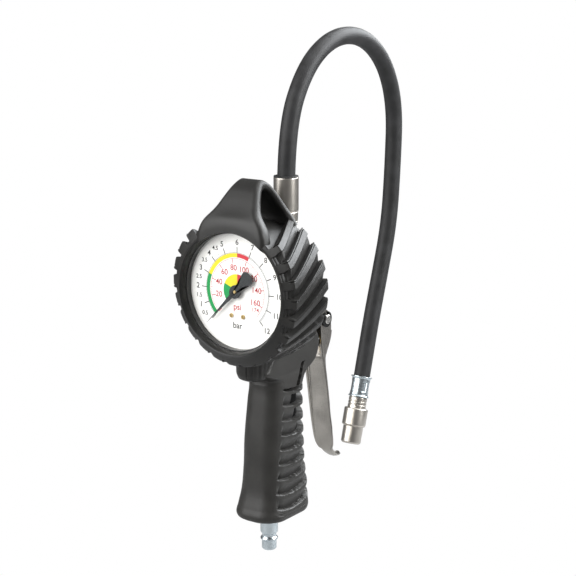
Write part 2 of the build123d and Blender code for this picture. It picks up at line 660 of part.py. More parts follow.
with BuildPart() as hose_nipple:
    turn(((COLUMN_Y, COLLAR_LOW), (COLUMN_Y + 7.6, COLLAR_LOW), (COLUMN_Y + 8.0, COLLAR_LOW + 0.5),
          (COLUMN_Y + 8.0, SLEEVE_LOW), (COLUMN_Y + TAIL_RADIUS, SLEEVE_LOW),
          (COLUMN_Y + TAIL_RADIUS, FERRULE_TOP - 2), (COLUMN_Y + 2.5, FERRULE_TOP - 1),
          (COLUMN_Y, FERRULE_TOP - 1)), COLUMN_AXIS)
    rod(Plane((0, COLUMN_Y, COLLAR_LOW)), COLUMN_TOP + 10.5 - COLLAR_LOW, 5.0, mode=Mode.SUBTRACT)
    rod(Plane((0, COLUMN_Y, COLLAR_LOW)), 60, 1.8, mode=Mode.SUBTRACT)
save(hose_nipple.part, "hose_nipple")

with BuildPart() as hose_ferrule:
    rod(Plane((0, COLUMN_Y, SLEEVE_LOW)), FERRULE_TOP - 1.0 - SLEEVE_LOW, FERRULE_RADIUS,
        bore=TAIL_RADIUS)
    rod(Plane((0, COLUMN_Y, HOSE_START)), 20, HOSE_RADIUS + FIT, mode=Mode.SUBTRACT)
save(hose_ferrule.part, "hose_ferrule")

with BuildPart() as ferrule_ring:
    rod(Plane((0, COLUMN_Y, FERRULE_TOP - 1.0)), 1.0, FERRULE_RADIUS, bore=HOSE_RADIUS + FIT)
save(ferrule_ring.part, "ferrule_ring")


# ---------------------------------------------------------------- hose
def corner_radii(points):
    """An arc at each corner, as large as its two runs allow."""
    radii = []
    for before, corner, after in zip(points, points[1:], points[2:]):
        arriving = Vector(*corner) - Vector(*before)
        leaving = Vector(*after) - Vector(*corner)
        half_turn = math.radians(arriving.get_angle(leaving)) / 2
        shorter = min(arriving.length, leaving.length)
        radii.append(0.45 * shorter / math.tan(half_turn))
    return radii


with BuildPart() as hose:
    with BuildLine() as route:
        FilletPolyline(*HOSE_POINTS, radius=corner_radii(HOSE_POINTS))
    with BuildSketch(Plane(origin=route.line @ 0, z_dir=route.line % 0)):
        Circle(HOSE_RADIUS)
        Circle(HOSE_BORE, mode=Mode.SUBTRACT)
    sweep()
save(hose.part, "hose")
hose_length = sum(edge.length for edge in route.edges())
ring_area = math.pi * (HOSE_RADIUS**2 - HOSE_BORE**2)
print("hose arc radii", [round(radius) for radius in corner_radii(HOSE_POINTS)])
print("hose length", round(hose_length, 1))
print("hose volume", round(hose.part.volume), "of", round(ring_area * hose_length))

# ---------------------------------------------------------------- end fitting and chuck
# Distances along the chuck run from the mouth of the end ferrule
MOUTH_TO_HOSE_END = 12.0
END_FERRULE_LENGTH = 15.2
SLEEVE_START = 23.7
STEM_RADIUS = 6.7
SHOULDER_AT = 26.5
COLLAR_END = 36.0
NOSE_START = 38.0
CHUCK_END = 49.8
SEAL_AT = 38.0
SEAL_THICKNESS = 3.5
SEAL_RADIUS = 4.4
RING_END = 49.0

hose_end = Vector(*HOSE_POINTS[-1])
chuck_direction = (hose_end - Vector(*HOSE_POINTS[-2])).normalized()
chuck_origin = hose_end - chuck_direction * MOUTH_TO_HOSE_END


def chuck_plane(distance):
    """A plane across the chuck, at that distance from the mouth of the end ferrule."""
    return Plane(chuck_origin + chuck_direction * distance, x_dir=(1, 0, 0), z_dir=chuck_direction)


with BuildPart() as end_ferrule:
    rod(chuck_plane(0), END_FERRULE_LENGTH, 6.7, bore=TAIL_RADIUS)
    rod(chuck_plane(0), 0.9, 7.7, bore=HOSE_RADIUS)
    rod(chuck_plane(END_FERRULE_LENGTH - 0.9), 0.9, 7.5, bore=HOSE_RADIUS)
    rod(chuck_plane(0), MOUTH_TO_HOSE_END, HOSE_RADIUS + FIT, mode=Mode.SUBTRACT)
save(end_ferrule.part, "end_ferrule")

with BuildPart() as chuck_stem:
    rod(chuck_plane(2), END_FERRULE_LENGTH - 2, TAIL_RADIUS)
    rod(chuck_plane(END_FERRULE_LENGTH), SHOULDER_AT - END_FERRULE_LENGTH, STEM_RADIUS)
    rod(chuck_plane(SHOULDER_AT), SEAL_AT - SHOULDER_AT, 5.0)
    rod(chuck_plane(0), 40, 1.8, mode=Mode.SUBTRACT)
save(chuck_stem.part, "chuck_stem")

with BuildPart() as sleeve_clip:
    rod(chuck_plane(SHOULDER_AT), 0.8, STEM_RADIUS + 0.3, bore=5.0)
save(sleeve_clip.part, "sleeve_clip")

with BuildPart() as chuck_sleeve:
    rod(chuck_plane(SLEEVE_START), COLLAR_END - SLEEVE_START, 8.7)
    with BuildSketch(chuck_plane(COLLAR_END)) as collar_face:
        Circle(8.7)
    with BuildSketch(chuck_plane(NOSE_START)) as nose_face:
        Circle(7.3)
    loft([collar_face.sketch, nose_face.sketch])
    rod(chuck_plane(NOSE_START), CHUCK_END - NOSE_START, 7.3)
    chamfer(chuck_sleeve.edges().sort_by(Axis.Z)[0], 1.0)
    rod(chuck_plane(SLEEVE_START), 40, 5.0 + CLEAR, mode=Mode.SUBTRACT)
    rod(chuck_plane(SLEEVE_START), COLLAR_END - SLEEVE_START, STEM_RADIUS + 0.1, mode=Mode.SUBTRACT)
    rod(chuck_plane(SHOULDER_AT - 0.1), COLLAR_END - SHOULDER_AT + 0.1, 7.25, mode=Mode.SUBTRACT)
save(chuck_sleeve.part, "chuck_sleeve")

with BuildPart() as sleeve_spring:
    wire_coil(chuck_plane(SHOULDER_AT + 1.25), COLLAR_END - SHOULDER_AT - 1.7, 5.8, 0.35, 5)
save(sleeve_spring.part, "sleeve_spring")

with BuildPart() as grip_ring:
    rod(chuck_plane(SEAL_AT), RING_END - SEAL_AT, 5.0, bore=CHUCK_MOUTH_RADIUS)
    rod(chuck_plane(SEAL_AT), SEAL_THICKNESS, SEAL_RADIUS, mode=Mode.SUBTRACT)
save(grip_ring.part, "grip_ring")

with BuildPart() as chuck_seal:
    rod(chuck_plane(SEAL_AT), SEAL_THICKNESS, SEAL_RADIUS, bore=1.9)
save(chuck_seal.part, "chuck_seal")

with BuildPart() as chuck_pin:
    rod(chuck_plane(34), 7.3, 0.8)
    with BuildSketch(chuck_plane(34)):
        Rectangle(3.5, 0.8)
        Rectangle(0.8, 3.5)
    extrude(amount=1.0)
save(chuck_pin.part, "chuck_pin")
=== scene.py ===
"""Looks of the tyre inflator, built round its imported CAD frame.

Shapes are written in millimetres in the frame's own axes and turned into metres by make().
"""

import json
import math

import bmesh
import bpy
import numpy as np
from mathutils import Matrix, Vector


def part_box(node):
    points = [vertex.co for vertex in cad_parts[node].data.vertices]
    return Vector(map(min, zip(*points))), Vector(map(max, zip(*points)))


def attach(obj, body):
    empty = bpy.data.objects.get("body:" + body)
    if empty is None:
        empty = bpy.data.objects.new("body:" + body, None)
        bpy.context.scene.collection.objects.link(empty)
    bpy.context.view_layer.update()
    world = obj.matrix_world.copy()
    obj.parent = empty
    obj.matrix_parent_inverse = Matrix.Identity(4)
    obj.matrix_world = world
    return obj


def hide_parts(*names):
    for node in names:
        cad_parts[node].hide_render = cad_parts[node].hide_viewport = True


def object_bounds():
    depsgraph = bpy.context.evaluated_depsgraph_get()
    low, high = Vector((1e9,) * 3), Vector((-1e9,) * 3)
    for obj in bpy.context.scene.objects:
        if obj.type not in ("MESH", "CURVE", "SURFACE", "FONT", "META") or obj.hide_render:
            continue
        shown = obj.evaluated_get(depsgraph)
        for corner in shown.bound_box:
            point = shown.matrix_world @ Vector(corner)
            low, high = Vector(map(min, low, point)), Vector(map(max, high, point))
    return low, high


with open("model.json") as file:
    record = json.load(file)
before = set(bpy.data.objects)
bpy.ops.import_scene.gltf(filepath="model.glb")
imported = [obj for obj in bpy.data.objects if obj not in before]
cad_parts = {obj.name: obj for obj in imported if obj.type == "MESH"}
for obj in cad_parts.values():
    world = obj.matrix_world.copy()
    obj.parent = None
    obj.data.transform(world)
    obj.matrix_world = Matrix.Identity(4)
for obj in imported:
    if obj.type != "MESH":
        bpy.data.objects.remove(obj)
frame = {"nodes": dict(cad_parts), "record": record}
cad_low, cad_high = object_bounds()

MM = 0.001


def box_mm(node):
    """Lowest and highest corner of a CAD node, in millimetres."""
    low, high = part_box(node)
    return np.array(low) / MM, np.array(high) / MM


def middle(node):
    low, high = box_mm(node)
    return (low + high) / 2


# ------------------------------------------------------------------ places read from the frame
GAUGE = middle("gauge_lens")
DIAL_FRONT = box_mm("dial")[0][1]
BEZEL_FRONT = box_mm("bezel_ring")[0][1]
BOOT_LOW, BOOT_HIGH = box_mm("gauge_boot")
BOOT_FRONT, BOOT_BACK = BOOT_LOW[1], BOOT_HIGH[1]
PIN = middle("lever_pin")
COLUMN = middle("hose_ferrule")
GRIP_BOTTOM = box_mm("grip_housing")[0][2]

# The hose's route, in metres, from inside its ferrule to the chuck's ferrule
HOSE_ROUTE = (
    (0.0, 0.020, 0.170),
    (0.0, 0.020, 0.213),
    (0.0, 0.0409, 0.2512),
    (0.0, 0.0731, 0.2705),
    (0.0, 0.1105, 0.2705),
    (-0.001, 0.1425, 0.2513),
    (-0.002, 0.160, 0.2182),
    (-0.0035, 0.1606, 0.1724),
    (-0.0045, 0.1582, 0.1309),
    (-0.0055, 0.1472, 0.0929),
    (-0.006, 0.1369, 0.0604),
    (-0.006, 0.1292, 0.0341),
    (-0.006, 0.1218, 0.0101),
)
HOSE_DIAMETER = 0.012
HOSE_END_DEPTH = 12.0

hose_end = Vector(HOSE_ROUTE[-1])
CHUCK_AXIS = (hose_end - Vector(HOSE_ROUTE[-2])).normalized()
CHUCK_START = hose_end / MM - CHUCK_AXIS * HOSE_END_DEPTH


# ------------------------------------------------------------------ camera
CAMERA_LENS = 96.2
CAMERA_AZIMUTH, CAMERA_ELEVATION = 35.0, 12.3
CAMERA_DISTANCE = 980.0
CAMERA_TARGET = (26.2, -15.2, 117.0)


def make_camera():
    """The camera stands to the right of the dial's axis and a little above it."""
    azimuth, elevation = math.radians(CAMERA_AZIMUTH), math.radians(CAMERA_ELEVATION)
    away = Vector((
        math.sin(azimuth) * math.cos(elevation),
        -math.cos(azimuth) * math.cos(elevation),
        math.sin(elevation),
    ))
    data = bpy.data.cameras.new("camera")
    data.lens, data.sensor_width = CAMERA_LENS, 36.0
    data.clip_start, data.clip_end = 0.05, 20.0
    camera = bpy.data.objects.new("camera", data)
    bpy.context.collection.objects.link(camera)
    camera.location = (Vector(CAMERA_TARGET) + away * CAMERA_DISTANCE) * MM
    camera.rotation_mode = "QUATERNION"
    camera.rotation_quaternion = (-away).to_track_quat("-Z", "Y")
    bpy.context.scene.camera = camera


# ------------------------------------------------------------------ materials
def new_material(name):
    """A node material with its nodes, its links and its shader."""
    material = bpy.data.materials.new(name)
    material.use_nodes = True
    tree = material.node_tree
    return material, tree.nodes, tree.links, tree.nodes["Principled BSDF"]


def object_noise(nodes, links, scale, detail=4.0, stretch=(1, 1, 1)):
    """A noise texture fixed to the piece."""
    place = nodes.new("ShaderNodeTexCoord")
    mapping = nodes.new("ShaderNodeMapping")
    mapping.inputs["Scale"].default_value = stretch
    noise = nodes.new("ShaderNodeTexNoise")
    noise.inputs["Scale"].default_value = scale
    noise.inputs["Detail"].default_value = detail
    links.new(place.outputs["Object"], mapping.inputs["Vector"])
    links.new(mapping.outputs["Vector"], noise.inputs["Vector"])
    return noise


def ramp_between(nodes, links, source, low, high, start=0.3, end=0.7):
    """A colour ramp from low to high, driven by a noise."""
    ramp = nodes.new("ShaderNodeValToRGB")
    ramp.color_ramp.elements[0].position = start
    ramp.color_ramp.elements[0].color = (*low, 1)
    ramp.color_ramp.elements[1].position = end
    ramp.color_ramp.elements[1].color = (*high, 1)
    links.new(source.outputs["Fac"], ramp.inputs["Fac"])
    return ramp


def add_bump(nodes, links, source, shader, strength, distance):
    bump = nodes.new("ShaderNodeBump")
    bump.inputs["Strength"].default_value = strength
    bump.inputs["Distance"].default_value = distance
    links.new(source.outputs[0], bump.inputs["Height"])
    links.new(bump.outputs["Normal"], shader.inputs["Normal"])


def roughness_range(nodes, links, source, shader, low, high):
    spread = nodes.new("ShaderNodeMapRange")
    spread.inputs["To Min"].default_value = low
    spread.inputs["To Max"].default_value = high
    links.new(source.outputs["Fac"], spread.inputs["Value"])
    links.new(spread.outputs["Result"], shader.inputs["Roughness"])


def moulded(name, dark, light, rough, grain, bump, shine=0.32):
    """Textured moulded plastic or rubber: a fine grain, cloudy colour and uneven gloss."""
    material, nodes, links, shader = new_material(name)
    clouds = object_noise(nodes, links, 90, 3)
    colour = ramp_between(nodes, links, clouds, dark, light)
    links.new(colour.outputs["Color"], shader.inputs["Base Color"])
    fine = object_noise(nodes, links, grain, 3)
    add_bump(nodes, links, fine, shader, bump, 0.0003)
    roughness_range(nodes, links, clouds, shader, rough - 0.06, rough + 0.06)
    shader.inputs["Specular IOR Level"].default_value = shine
    return material


def metal(name, dark, light, rough, stretch=(1, 1, 1), grain=900.0, bump=0.12):
    """Metal with fine machining or drawing marks along one direction."""
    material, nodes, links, shader = new_material(name)
    marks = object_noise(nodes, links, grain, 3, stretch)
    clouds = object_noise(nodes, links, 60, 2)
    colour = ramp_between(nodes, links, clouds, dark, light)
    links.new(colour.outputs["Color"], shader.inputs["Base Color"])
    shader.inputs["Metallic"].default_value = 1.0
    roughness_range(nodes, links, marks, shader, rough - 0.08, rough + 0.08)
    add_bump(nodes, links, marks, shader, bump, 0.00008)
    return material


def plain(name, colour, rough, metallic=0.0, variation=0.06):
    """Paint, print or lacquer with a slight unevenness."""
    material, nodes, links, shader = new_material(name)
    clouds = object_noise(nodes, links, 150, 2)
    low = tuple(c * (1 - variation) for c in colour)
    ramp = ramp_between(nodes, links, clouds, low, colour)
    links.new(ramp.outputs["Color"], shader.inputs["Base Color"])
    shader.inputs["Metallic"].default_value = metallic
    roughness_range(nodes, links, clouds, shader, rough - 0.04, rough + 0.04)
    return material


def hose_material():
    """Rubber hose with the fine weave left by its wrapping."""
    material, nodes, links, shader = new_material("hose_rubber_look")
    clouds = object_noise(nodes, links, 120, 3)
    colour = ramp_between(nodes, links, clouds, (0.012, 0.012, 0.012), (0.024, 0.024, 0.025))
    links.new(colour.outputs["Color"], shader.inputs["Base Color"])
    place = nodes.new("ShaderNodeTexCoord")
    waves = []
    for turn in (0.6, -0.6):
        mapping = nodes.new("ShaderNodeMapping")
        mapping.inputs["Rotation"].default_value = (turn, turn * 0.5, 0)
        wave = nodes.new("ShaderNodeTexWave")
        wave.inputs["Scale"].default_value = 420
        wave.inputs["Distortion"].default_value = 0.4
        links.new(place.outputs["Object"], mapping.inputs["Vector"])
        links.new(mapping.outputs["Vector"], wave.inputs["Vector"])
        waves.append(wave)
    weave = nodes.new("ShaderNodeMath")
    weave.operation = "MAXIMUM"
    for index, wave in enumerate(waves):
        links.new(wave.outputs["Fac"], weave.inputs[index])
    add_bump(nodes, links, weave, shader, 0.2, 0.0001)
    roughness_range(nodes, links, clouds, shader, 0.5, 0.58)
    shader.inputs["Specular IOR Level"].default_value = 0.3
    return material


def window_material():
    """Clear window: it lets the dial show and keeps only a weak reflection on its outer side."""
    material, nodes, links, shader = new_material("window_look")
    nodes.remove(shader)
    clear = nodes.new("ShaderNodeBsdfTransparent")
    gloss = nodes.new("ShaderNodeBsdfGlossy")
    gloss.inputs["Roughness"].default_value = 0.05
    fresnel = nodes.new("ShaderNodeFresnel")
    fresnel.inputs["IOR"].default_value = 1.25
    sides = nodes.new("ShaderNodeNewGeometry")
    outer = nodes.new("ShaderNodeMath")
    outer.operation = "SUBTRACT"
    outer.inputs[0].default_value = 1.0
    links.new(sides.outputs["Backfacing"], outer.inputs[1])
    share = nodes.new("ShaderNodeMath")
    share.operation = "MULTIPLY"
    links.new(fresnel.outputs["Fac"], share.inputs[0])
    links.new(outer.outputs["Value"], share.inputs[1])
    mix = nodes.new("ShaderNodeMixShader")
    links.new(share.outputs["Value"], mix.inputs["Fac"])
    links.new(clear.outputs["BSDF"], mix.inputs[1])
    links.new(gloss.outputs["BSDF"], mix.inputs[2])
    links.new(mix.outputs["Shader"], nodes["Material Output"].inputs["Surface"])
    return material


GRIP_LOOK = moulded("grip_plastic_look", (0.019, 0.0182, 0.0168), (0.025, 0.024, 0.022), 0.42, 2600, 0.3)
BOOT_LOOK = moulded("boot_rubber_look", (0.013, 0.0125, 0.0115), (0.018, 0.0175, 0.0162), 0.42, 2200, 0.3)
# Near-black, nearly matt look of the grip's core: painted shade for the deep gaps between the fins.
GAP_SHADE_LOOK = moulded("painted_gap_shade_look", (0.003, 0.003, 0.003), (0.005, 0.005, 0.005), 0.75, 2600, 0.2, 0.05)
HOSE_LOOK = hose_material()
BEZEL_LOOK = plain("bezel_look", (0.006, 0.006, 0.006), 0.25)
DIAL_LOOK = plain("dial_white_look", (0.97, 0.96, 0.925), 0.45, variation=0.015)
WINDOW_LOOK = window_material()
INK_BLACK = plain("ink_black_look", (0.008, 0.008, 0.009), 0.5)
INK_GREY = plain("ink_grey_look", (0.3, 0.3, 0.31), 0.5)
INK_RED = plain("ink_red_look", (0.5, 0.03, 0.045), 0.5)
BAND_GREEN = plain("band_green_look", (0.0, 0.31, 0.07), 0.5)
BAND_YELLOW = plain("band_yellow_look", (0.85, 0.72, 0.02), 0.5)
BAND_RED = plain("band_red_look", (0.62, 0.03, 0.045), 0.5)
POINTER_LOOK = plain("pointer_look", (0.022, 0.026, 0.028), 0.4)
BRASS_LOOK = metal("brass_look", (0.62, 0.46, 0.2), (0.74, 0.56, 0.27), 0.32)
LEVER_LOOK = metal("lever_steel_look", (0.27, 0.255, 0.235), (0.44, 0.42, 0.385), 0.27, (22, 22, 0.5),
                   500, 0.2)
PIN_LOOK = metal("pin_steel_look", (0.6, 0.59, 0.56), (0.7, 0.69, 0.66), 0.25)
DARK_STEEL_LOOK = plain("dark_steel_look", (0.02, 0.02, 0.02), 0.28, 0.6)
NICKEL_LOOK = metal("nickel_look", (0.47, 0.44, 0.4), (0.55, 0.52, 0.47), 0.32, (1, 1, 30))
ZINC_LOOK = metal("zinc_look", (0.48, 0.54, 0.57), (0.6, 0.66, 0.69), 0.27, (1, 1, 30))
SPRING_LOOK = metal("spring_steel_look", (0.4, 0.4, 0.4), (0.52, 0.52, 0.52), 0.3)
CAST_LOOK = metal("cast_alloy_look", (0.42, 0.42, 0.42), (0.55, 0.55, 0.55), 0.5, bump=0.3)
CASE_LOOK = plain("case_lacquer_look", (0.015, 0.015, 0.016), 0.35, 0.2)
SEAL_LOOK = plain("seal_rubber_look", (0.014, 0.014, 0.014), 0.6)

SLOT_LOOKS = {
    "black_plastic": GRIP_LOOK,
    "boot_rubber": BOOT_LOOK,
    "hose_rubber": HOSE_LOOK,
    "bezel_plastic": BEZEL_LOOK,
    "window": WINDOW_LOOK,
    "dial_enamel": DIAL_LOOK,
    "pointer_enamel": POINTER_LOOK,
    "lever_steel": LEVER_LOOK,
    "pin_steel": PIN_LOOK,
    "dark_steel": DARK_STEEL_LOOK,
    "brass": BRASS_LOOK,
    "nickel": NICKEL_LOOK,
    "zinc_plate": ZINC_LOOK,
    "spring_steel": SPRING_LOOK,
    "cast_alloy": CAST_LOOK,
    "case_steel": CASE_LOOK,
    "seal_rubber": SEAL_LOOK,
}


def dress_cad_nodes():
    """Every CAD node gets the material of its slot."""
    for part in frame["record"]["subparts"]:
        piece = frame["nodes"][part["node"]]
        for slot in piece.material_slots:
            slot.material = SLOT_LOOKS[part["material_slot"]]


# ------------------------------------------------------------------ mesh helpers
def make(name, points, faces, look, body, sharp=math.radians(40)):
    """A mesh piece from points in millimetres. It rides on a body."""
    mesh = bpy.data.meshes.new(name)
    mesh.from_pydata([tuple(float(c) * MM for c in p) for p in points], [], faces)
    work = bmesh.new()
    work.from_mesh(mesh)
    bmesh.ops.remove_doubles(work, verts=work.verts, dist=1e-7)
    bmesh.ops.recalc_face_normals(work, faces=work.faces)
    work.to_mesh(mesh)
    work.free()
    mesh.materials.append(look)
    mesh.polygons.foreach_set("use_smooth", [True] * len(mesh.polygons))
    mesh.set_sharp_from_angle(angle=sharp)
    piece = bpy.data.objects.new(name, mesh)
    bpy.context.collection.objects.link(piece)
    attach(piece, body)
    return piece


def grid_faces(rows, columns, wrap_rows=False, wrap_columns=False):
    """Quads over a grid of points that is stored row by row."""
    faces = []
    for i in range(rows if wrap_rows else rows - 1):
        for j in range(columns if wrap_columns else columns - 1):
            a, b = i * columns + j, i * columns + (j + 1) % columns
            c, d = ((i + 1) % rows) * columns + (j + 1) % columns, ((i + 1) % rows) * columns + j
            faces.append((a, b, c, d))
    return faces


def smooth_step(value, start, end):
    """0 before the start, 1 after the end and a smooth rise between them."""
    t = np.clip((value - start) / (end - start), 0.0, 1.0)
    return t * t * (3 - 2 * t)


def rounded(profile, radius, steps=4):
    """The closed outline with each corner replaced by a small arc."""
    points = [np.array(p, float) for p in profile]
    count = len(points)
    result = []
    for i, corner in enumerate(points):
        before, after = points[i - 1] - corner, points[(i + 1) % count] - corner
        length_a, length_b = np.linalg.norm(before), np.linalg.norm(after)
        if length_a < 1e-6 or length_b < 1e-6:
            continue
        reach = min(radius, 0.45 * length_a, 0.45 * length_b)
        start, end = corner + before / length_a * reach, corner + after / length_b * reach
        for k in range(steps + 1):
            t = k / steps
            result.append(tuple((1 - t) ** 2 * start + 2 * t * (1 - t) * corner + t * t * end))
    return result


def axis_frame(direction):
    """Two directions square to an axis and to each other."""
    direction = np.array(direction, float) / np.linalg.norm(direction)
    side = np.cross(direction, (1.0, 0.0, 0.0))
    if np.linalg.norm(side) < 0.2:
        side = np.cross(direction, (0.0, 1.0, 0.0))
    side /= np.linalg.norm(side)
    return direction, side, np.cross(direction, side)


def turned(name, profile, origin, direction, look, body, radius=0.25, steps=96, field=None):
    """A turned piece from a closed outline of (distance along the axis, radius)."""
    direction, side, across = axis_frame(direction)
    outline = rounded(profile, radius)
    angles = np.linspace(0, 2 * math.pi, steps, endpoint=False)
    points = []
    for distance, r in outline:
        for angle in angles:
            reach = r if field is None else field(distance, r, angle)
            points.append(np.array(origin) + direction * distance
                          + (side * math.cos(angle) + across * math.sin(angle)) * reach)
    faces = grid_faces(len(outline), steps, wrap_rows=True, wrap_columns=True)
    return make(name, points, faces, look, body)


def between(table, value):
    """Smooth values from a table whose first column rises."""
    table = np.array(table, float)
    keys = table[:, 0]
    columns = []
    slopes = np.gradient(table[:, 1:], keys, axis=0)
    index = int(np.clip(np.searchsorted(keys, value) - 1, 0, len(keys) - 2))
    span = keys[index + 1] - keys[index]
    t = float(np.clip((value - keys[index]) / span, 0, 1))
    h = (2 * t**3 - 3 * t**2 + 1, t**3 - 2 * t**2 + t, -2 * t**3 + 3 * t**2, t**3 - t**2)
    for k in range(table.shape[1] - 1):
        columns.append(
            h[0] * table[index, k + 1] + h[1] * span * slopes[index, k]
            + h[2] * table[index + 1, k + 1] + h[3] * span * slopes[index + 1, k])
    return columns


def rounded_rectangle(half_x, half_y, corner, count):
    """Points evenly spaced round a rounded rectangle, from the middle of its -Y side."""
    corner = min(corner, half_x - 0.01, half_y - 0.01)
    dense = []
    for quarter, (cx, cy) in enumerate(((1, -1), (1, 1), (-1, 1), (-1, -1))):
        for k in range(33):
            angle = math.radians(-90 + 90 * quarter + 90 * k / 32)
            dense.append((cx * (half_x - corner) + corner * math.cos(angle),
                          cy * (half_y - corner) + corner * math.sin(angle)))
    dense = np.array([(0, -half_y)] + dense + [(0, -half_y)])
    steps = np.linalg.norm(np.diff(dense, axis=0), axis=1)
    walked = np.concatenate(([0], np.cumsum(steps)))
    wanted = np.linspace(0, walked[-1], count, endpoint=False)
    return np.stack([np.interp(wanted, walked, dense[:, k]) for k in (0, 1)], axis=1)


def strip_cap(first, count):
    """Faces across a ring that mirrors itself in Y, from its -Y side to its +Y side."""
    half = count // 2
    return [tuple(first + k % count for k in (j, j + 1, half - j - 1, half - j))
            for j in range(-half // 2, half // 2)]


def loft(name, rings, look, body, sharp=math.radians(50), strips=False):
    """A closed skin through rings of points, with both ends capped."""
    rows, columns = len(rings), len(rings[0])
    points = [p for ring in rings for p in ring]
    faces = grid_faces(rows, columns, wrap_columns=True)
    if strips:
        faces += strip_cap(0, columns) + strip_cap((rows - 1) * columns, columns)
        return make(name, points, faces, look, body, sharp)
    for ring, first in ((rings[0], 0), (rings[-1], (rows - 1) * columns)):
        centre = len(points)
        points.append(np.mean(np.array(ring), axis=0))
        faces += [(first + j, first + (j + 1) % columns, centre) for j in range(columns)]
    return make(name, points, faces, look, body, sharp)


# ------------------------------------------------------------------ rubber boot
# The ribs: their number, the first one's direction, the flat top's share of a pitch, the wall's share
# of a pitch and the tip's radius. On the left and below, the stubs' tops and walls are broader.
RIBS = 24
RIB_PITCH = 360.0 / RIBS
RIB_OFFSET = 12.0
RIB_TOP_SHARE, BROAD_TOP_EXTRA = 0.4, 0.22
RIB_WALL_SHARE, BROAD_WALL_EXTRA = 0.03, 0.06
BROAD_RISE, BROAD_FALL, BROAD_DEPTH = (120, 150), (285, 330), (-24, -8)
RIB_TIP = 49.0
RIB_DROP = 1.5
GROOVE_FLOOR = 44.6
# Small terraces in the pockets between the stubs: length, height and number
TERRACE, TERRACE_RISE, TERRACES = 2.4, 0.8, 3.0
LIP_RADIUS = 40.6
# Direction, how far behind the front the stubs reach full height, and the pockets' floor radius
STUB_TABLE = ((0.0, 5.6, 41.6), (60.0, 4.5, 41.6), (110.0, 2.6, 43.0), (140.0, 3.2, 44.2),
              (160.0, 4.6, 44.4), (180.0, 6.2, 44.4), (200.0, 8.0, 44.4), (240.0, 8.5, 44.6),
              (270.0, 8.0, 45.6), (300.0, 7.5, 46.6), (322.0, 6.8, 45.0), (336.0, 6.2, 42.0),
              (350.0, 5.8, 41.6), (360.0, 5.6, 41.6))
# How far a rib turns round the boot, in degrees, and how softly the turn starts
RIB_TWIST, TWIST_EASE = 24.0, 0.04
SADDLE_RADIUS = 43.2
# Directions between which the hanging loop's saddle takes the place of ribs, in degrees
SADDLE = (46.0, 121.0)
CASE_BORE = 39.9


def rib_height(phase, floor, front, share, edge):
    """Profile across one rib: steep wall, flat top, small drop, slope to the next wall."""
    wall = smooth_step(phase, -edge, edge) + smooth_step(phase, 1 - edge, 1 + edge)
    top = 1 - smooth_step(phase, share - edge, share + edge)
    slope = np.clip((phase - share) / (1 - share), 0, 1)
    behind = (RIB_TIP - RIB_DROP - floor) * (1 - slope) * (1 - front)
    return floor + wall * (behind + (RIB_TIP - floor - behind) * np.where(phase > 0.9, 1, top))


def stub_shape(unswept):
    """Where the stubs reach full height, and the floor of the pockets between them."""
    table = np.array(STUB_TABLE)
    return (BOOT_FRONT + np.interp(unswept, table[:, 0], table[:, 1]),
            np.interp(unswept, table[:, 0], table[:, 2]))


def rib_sweep(unswept, y):
    """How far a rib has turned round the boot at this depth."""
    stub_top = stub_shape(unswept)[0]
    along = np.maximum(0.0, (y - stub_top) / (BOOT_BACK - stub_top))
    return RIB_TWIST * (1 + TWIST_EASE) * along * along / (along + TWIST_EASE)


def rib_radius(unswept, y):
    """Outer radius of the boot: stubs at the front that turn into swept ribs."""
    stub_top, pocket_floor = stub_shape(unswept)
    broad = smooth_step(unswept, *BROAD_RISE) * (1 - smooth_step(unswept, *BROAD_FALL))
    broad = broad * (1 - smooth_step(y, *BROAD_DEPTH))
    share = RIB_TOP_SHARE + BROAD_TOP_EXTRA * broad
    edge = RIB_WALL_SHARE + BROAD_WALL_EXTRA * broad
    half_top = share / 2
    phase = ((RIB_OFFSET - unswept) / RIB_PITCH + half_top) % 1.0
    front = 1 - smooth_step(y, stub_top - 1.0, stub_top + 4.5)
    walked = (y - BOOT_FRONT - 0.4) / TERRACE
    steps = np.floor(walked) + smooth_step(walked % 1.0, 0.75, 1.0)
    pocket = pocket_floor + TERRACE_RISE * min(TERRACES, float(steps))
    floor = pocket * front + GROOVE_FLOOR * (1 - front)
    radius = rib_height(phase, floor, front, share, edge)
    saddle = smooth_step(unswept, SADDLE[0] - 0.6, SADDLE[0] + 0.6)
    saddle = saddle * (1 - smooth_step(unswept, SADDLE[1], SADDLE[1] + 4))
    radius = radius * (1 - saddle) + SADDLE_RADIUS * saddle
    ramp = smooth_step(y, BOOT_FRONT + 0.2, stub_top)
    radius = np.minimum(radius, LIP_RADIUS + (RIB_TIP + 0.6 - LIP_RADIUS) * ramp)
    return radius - 1.4 * smooth_step(y, BOOT_BACK - 2.0, BOOT_BACK) ** 2


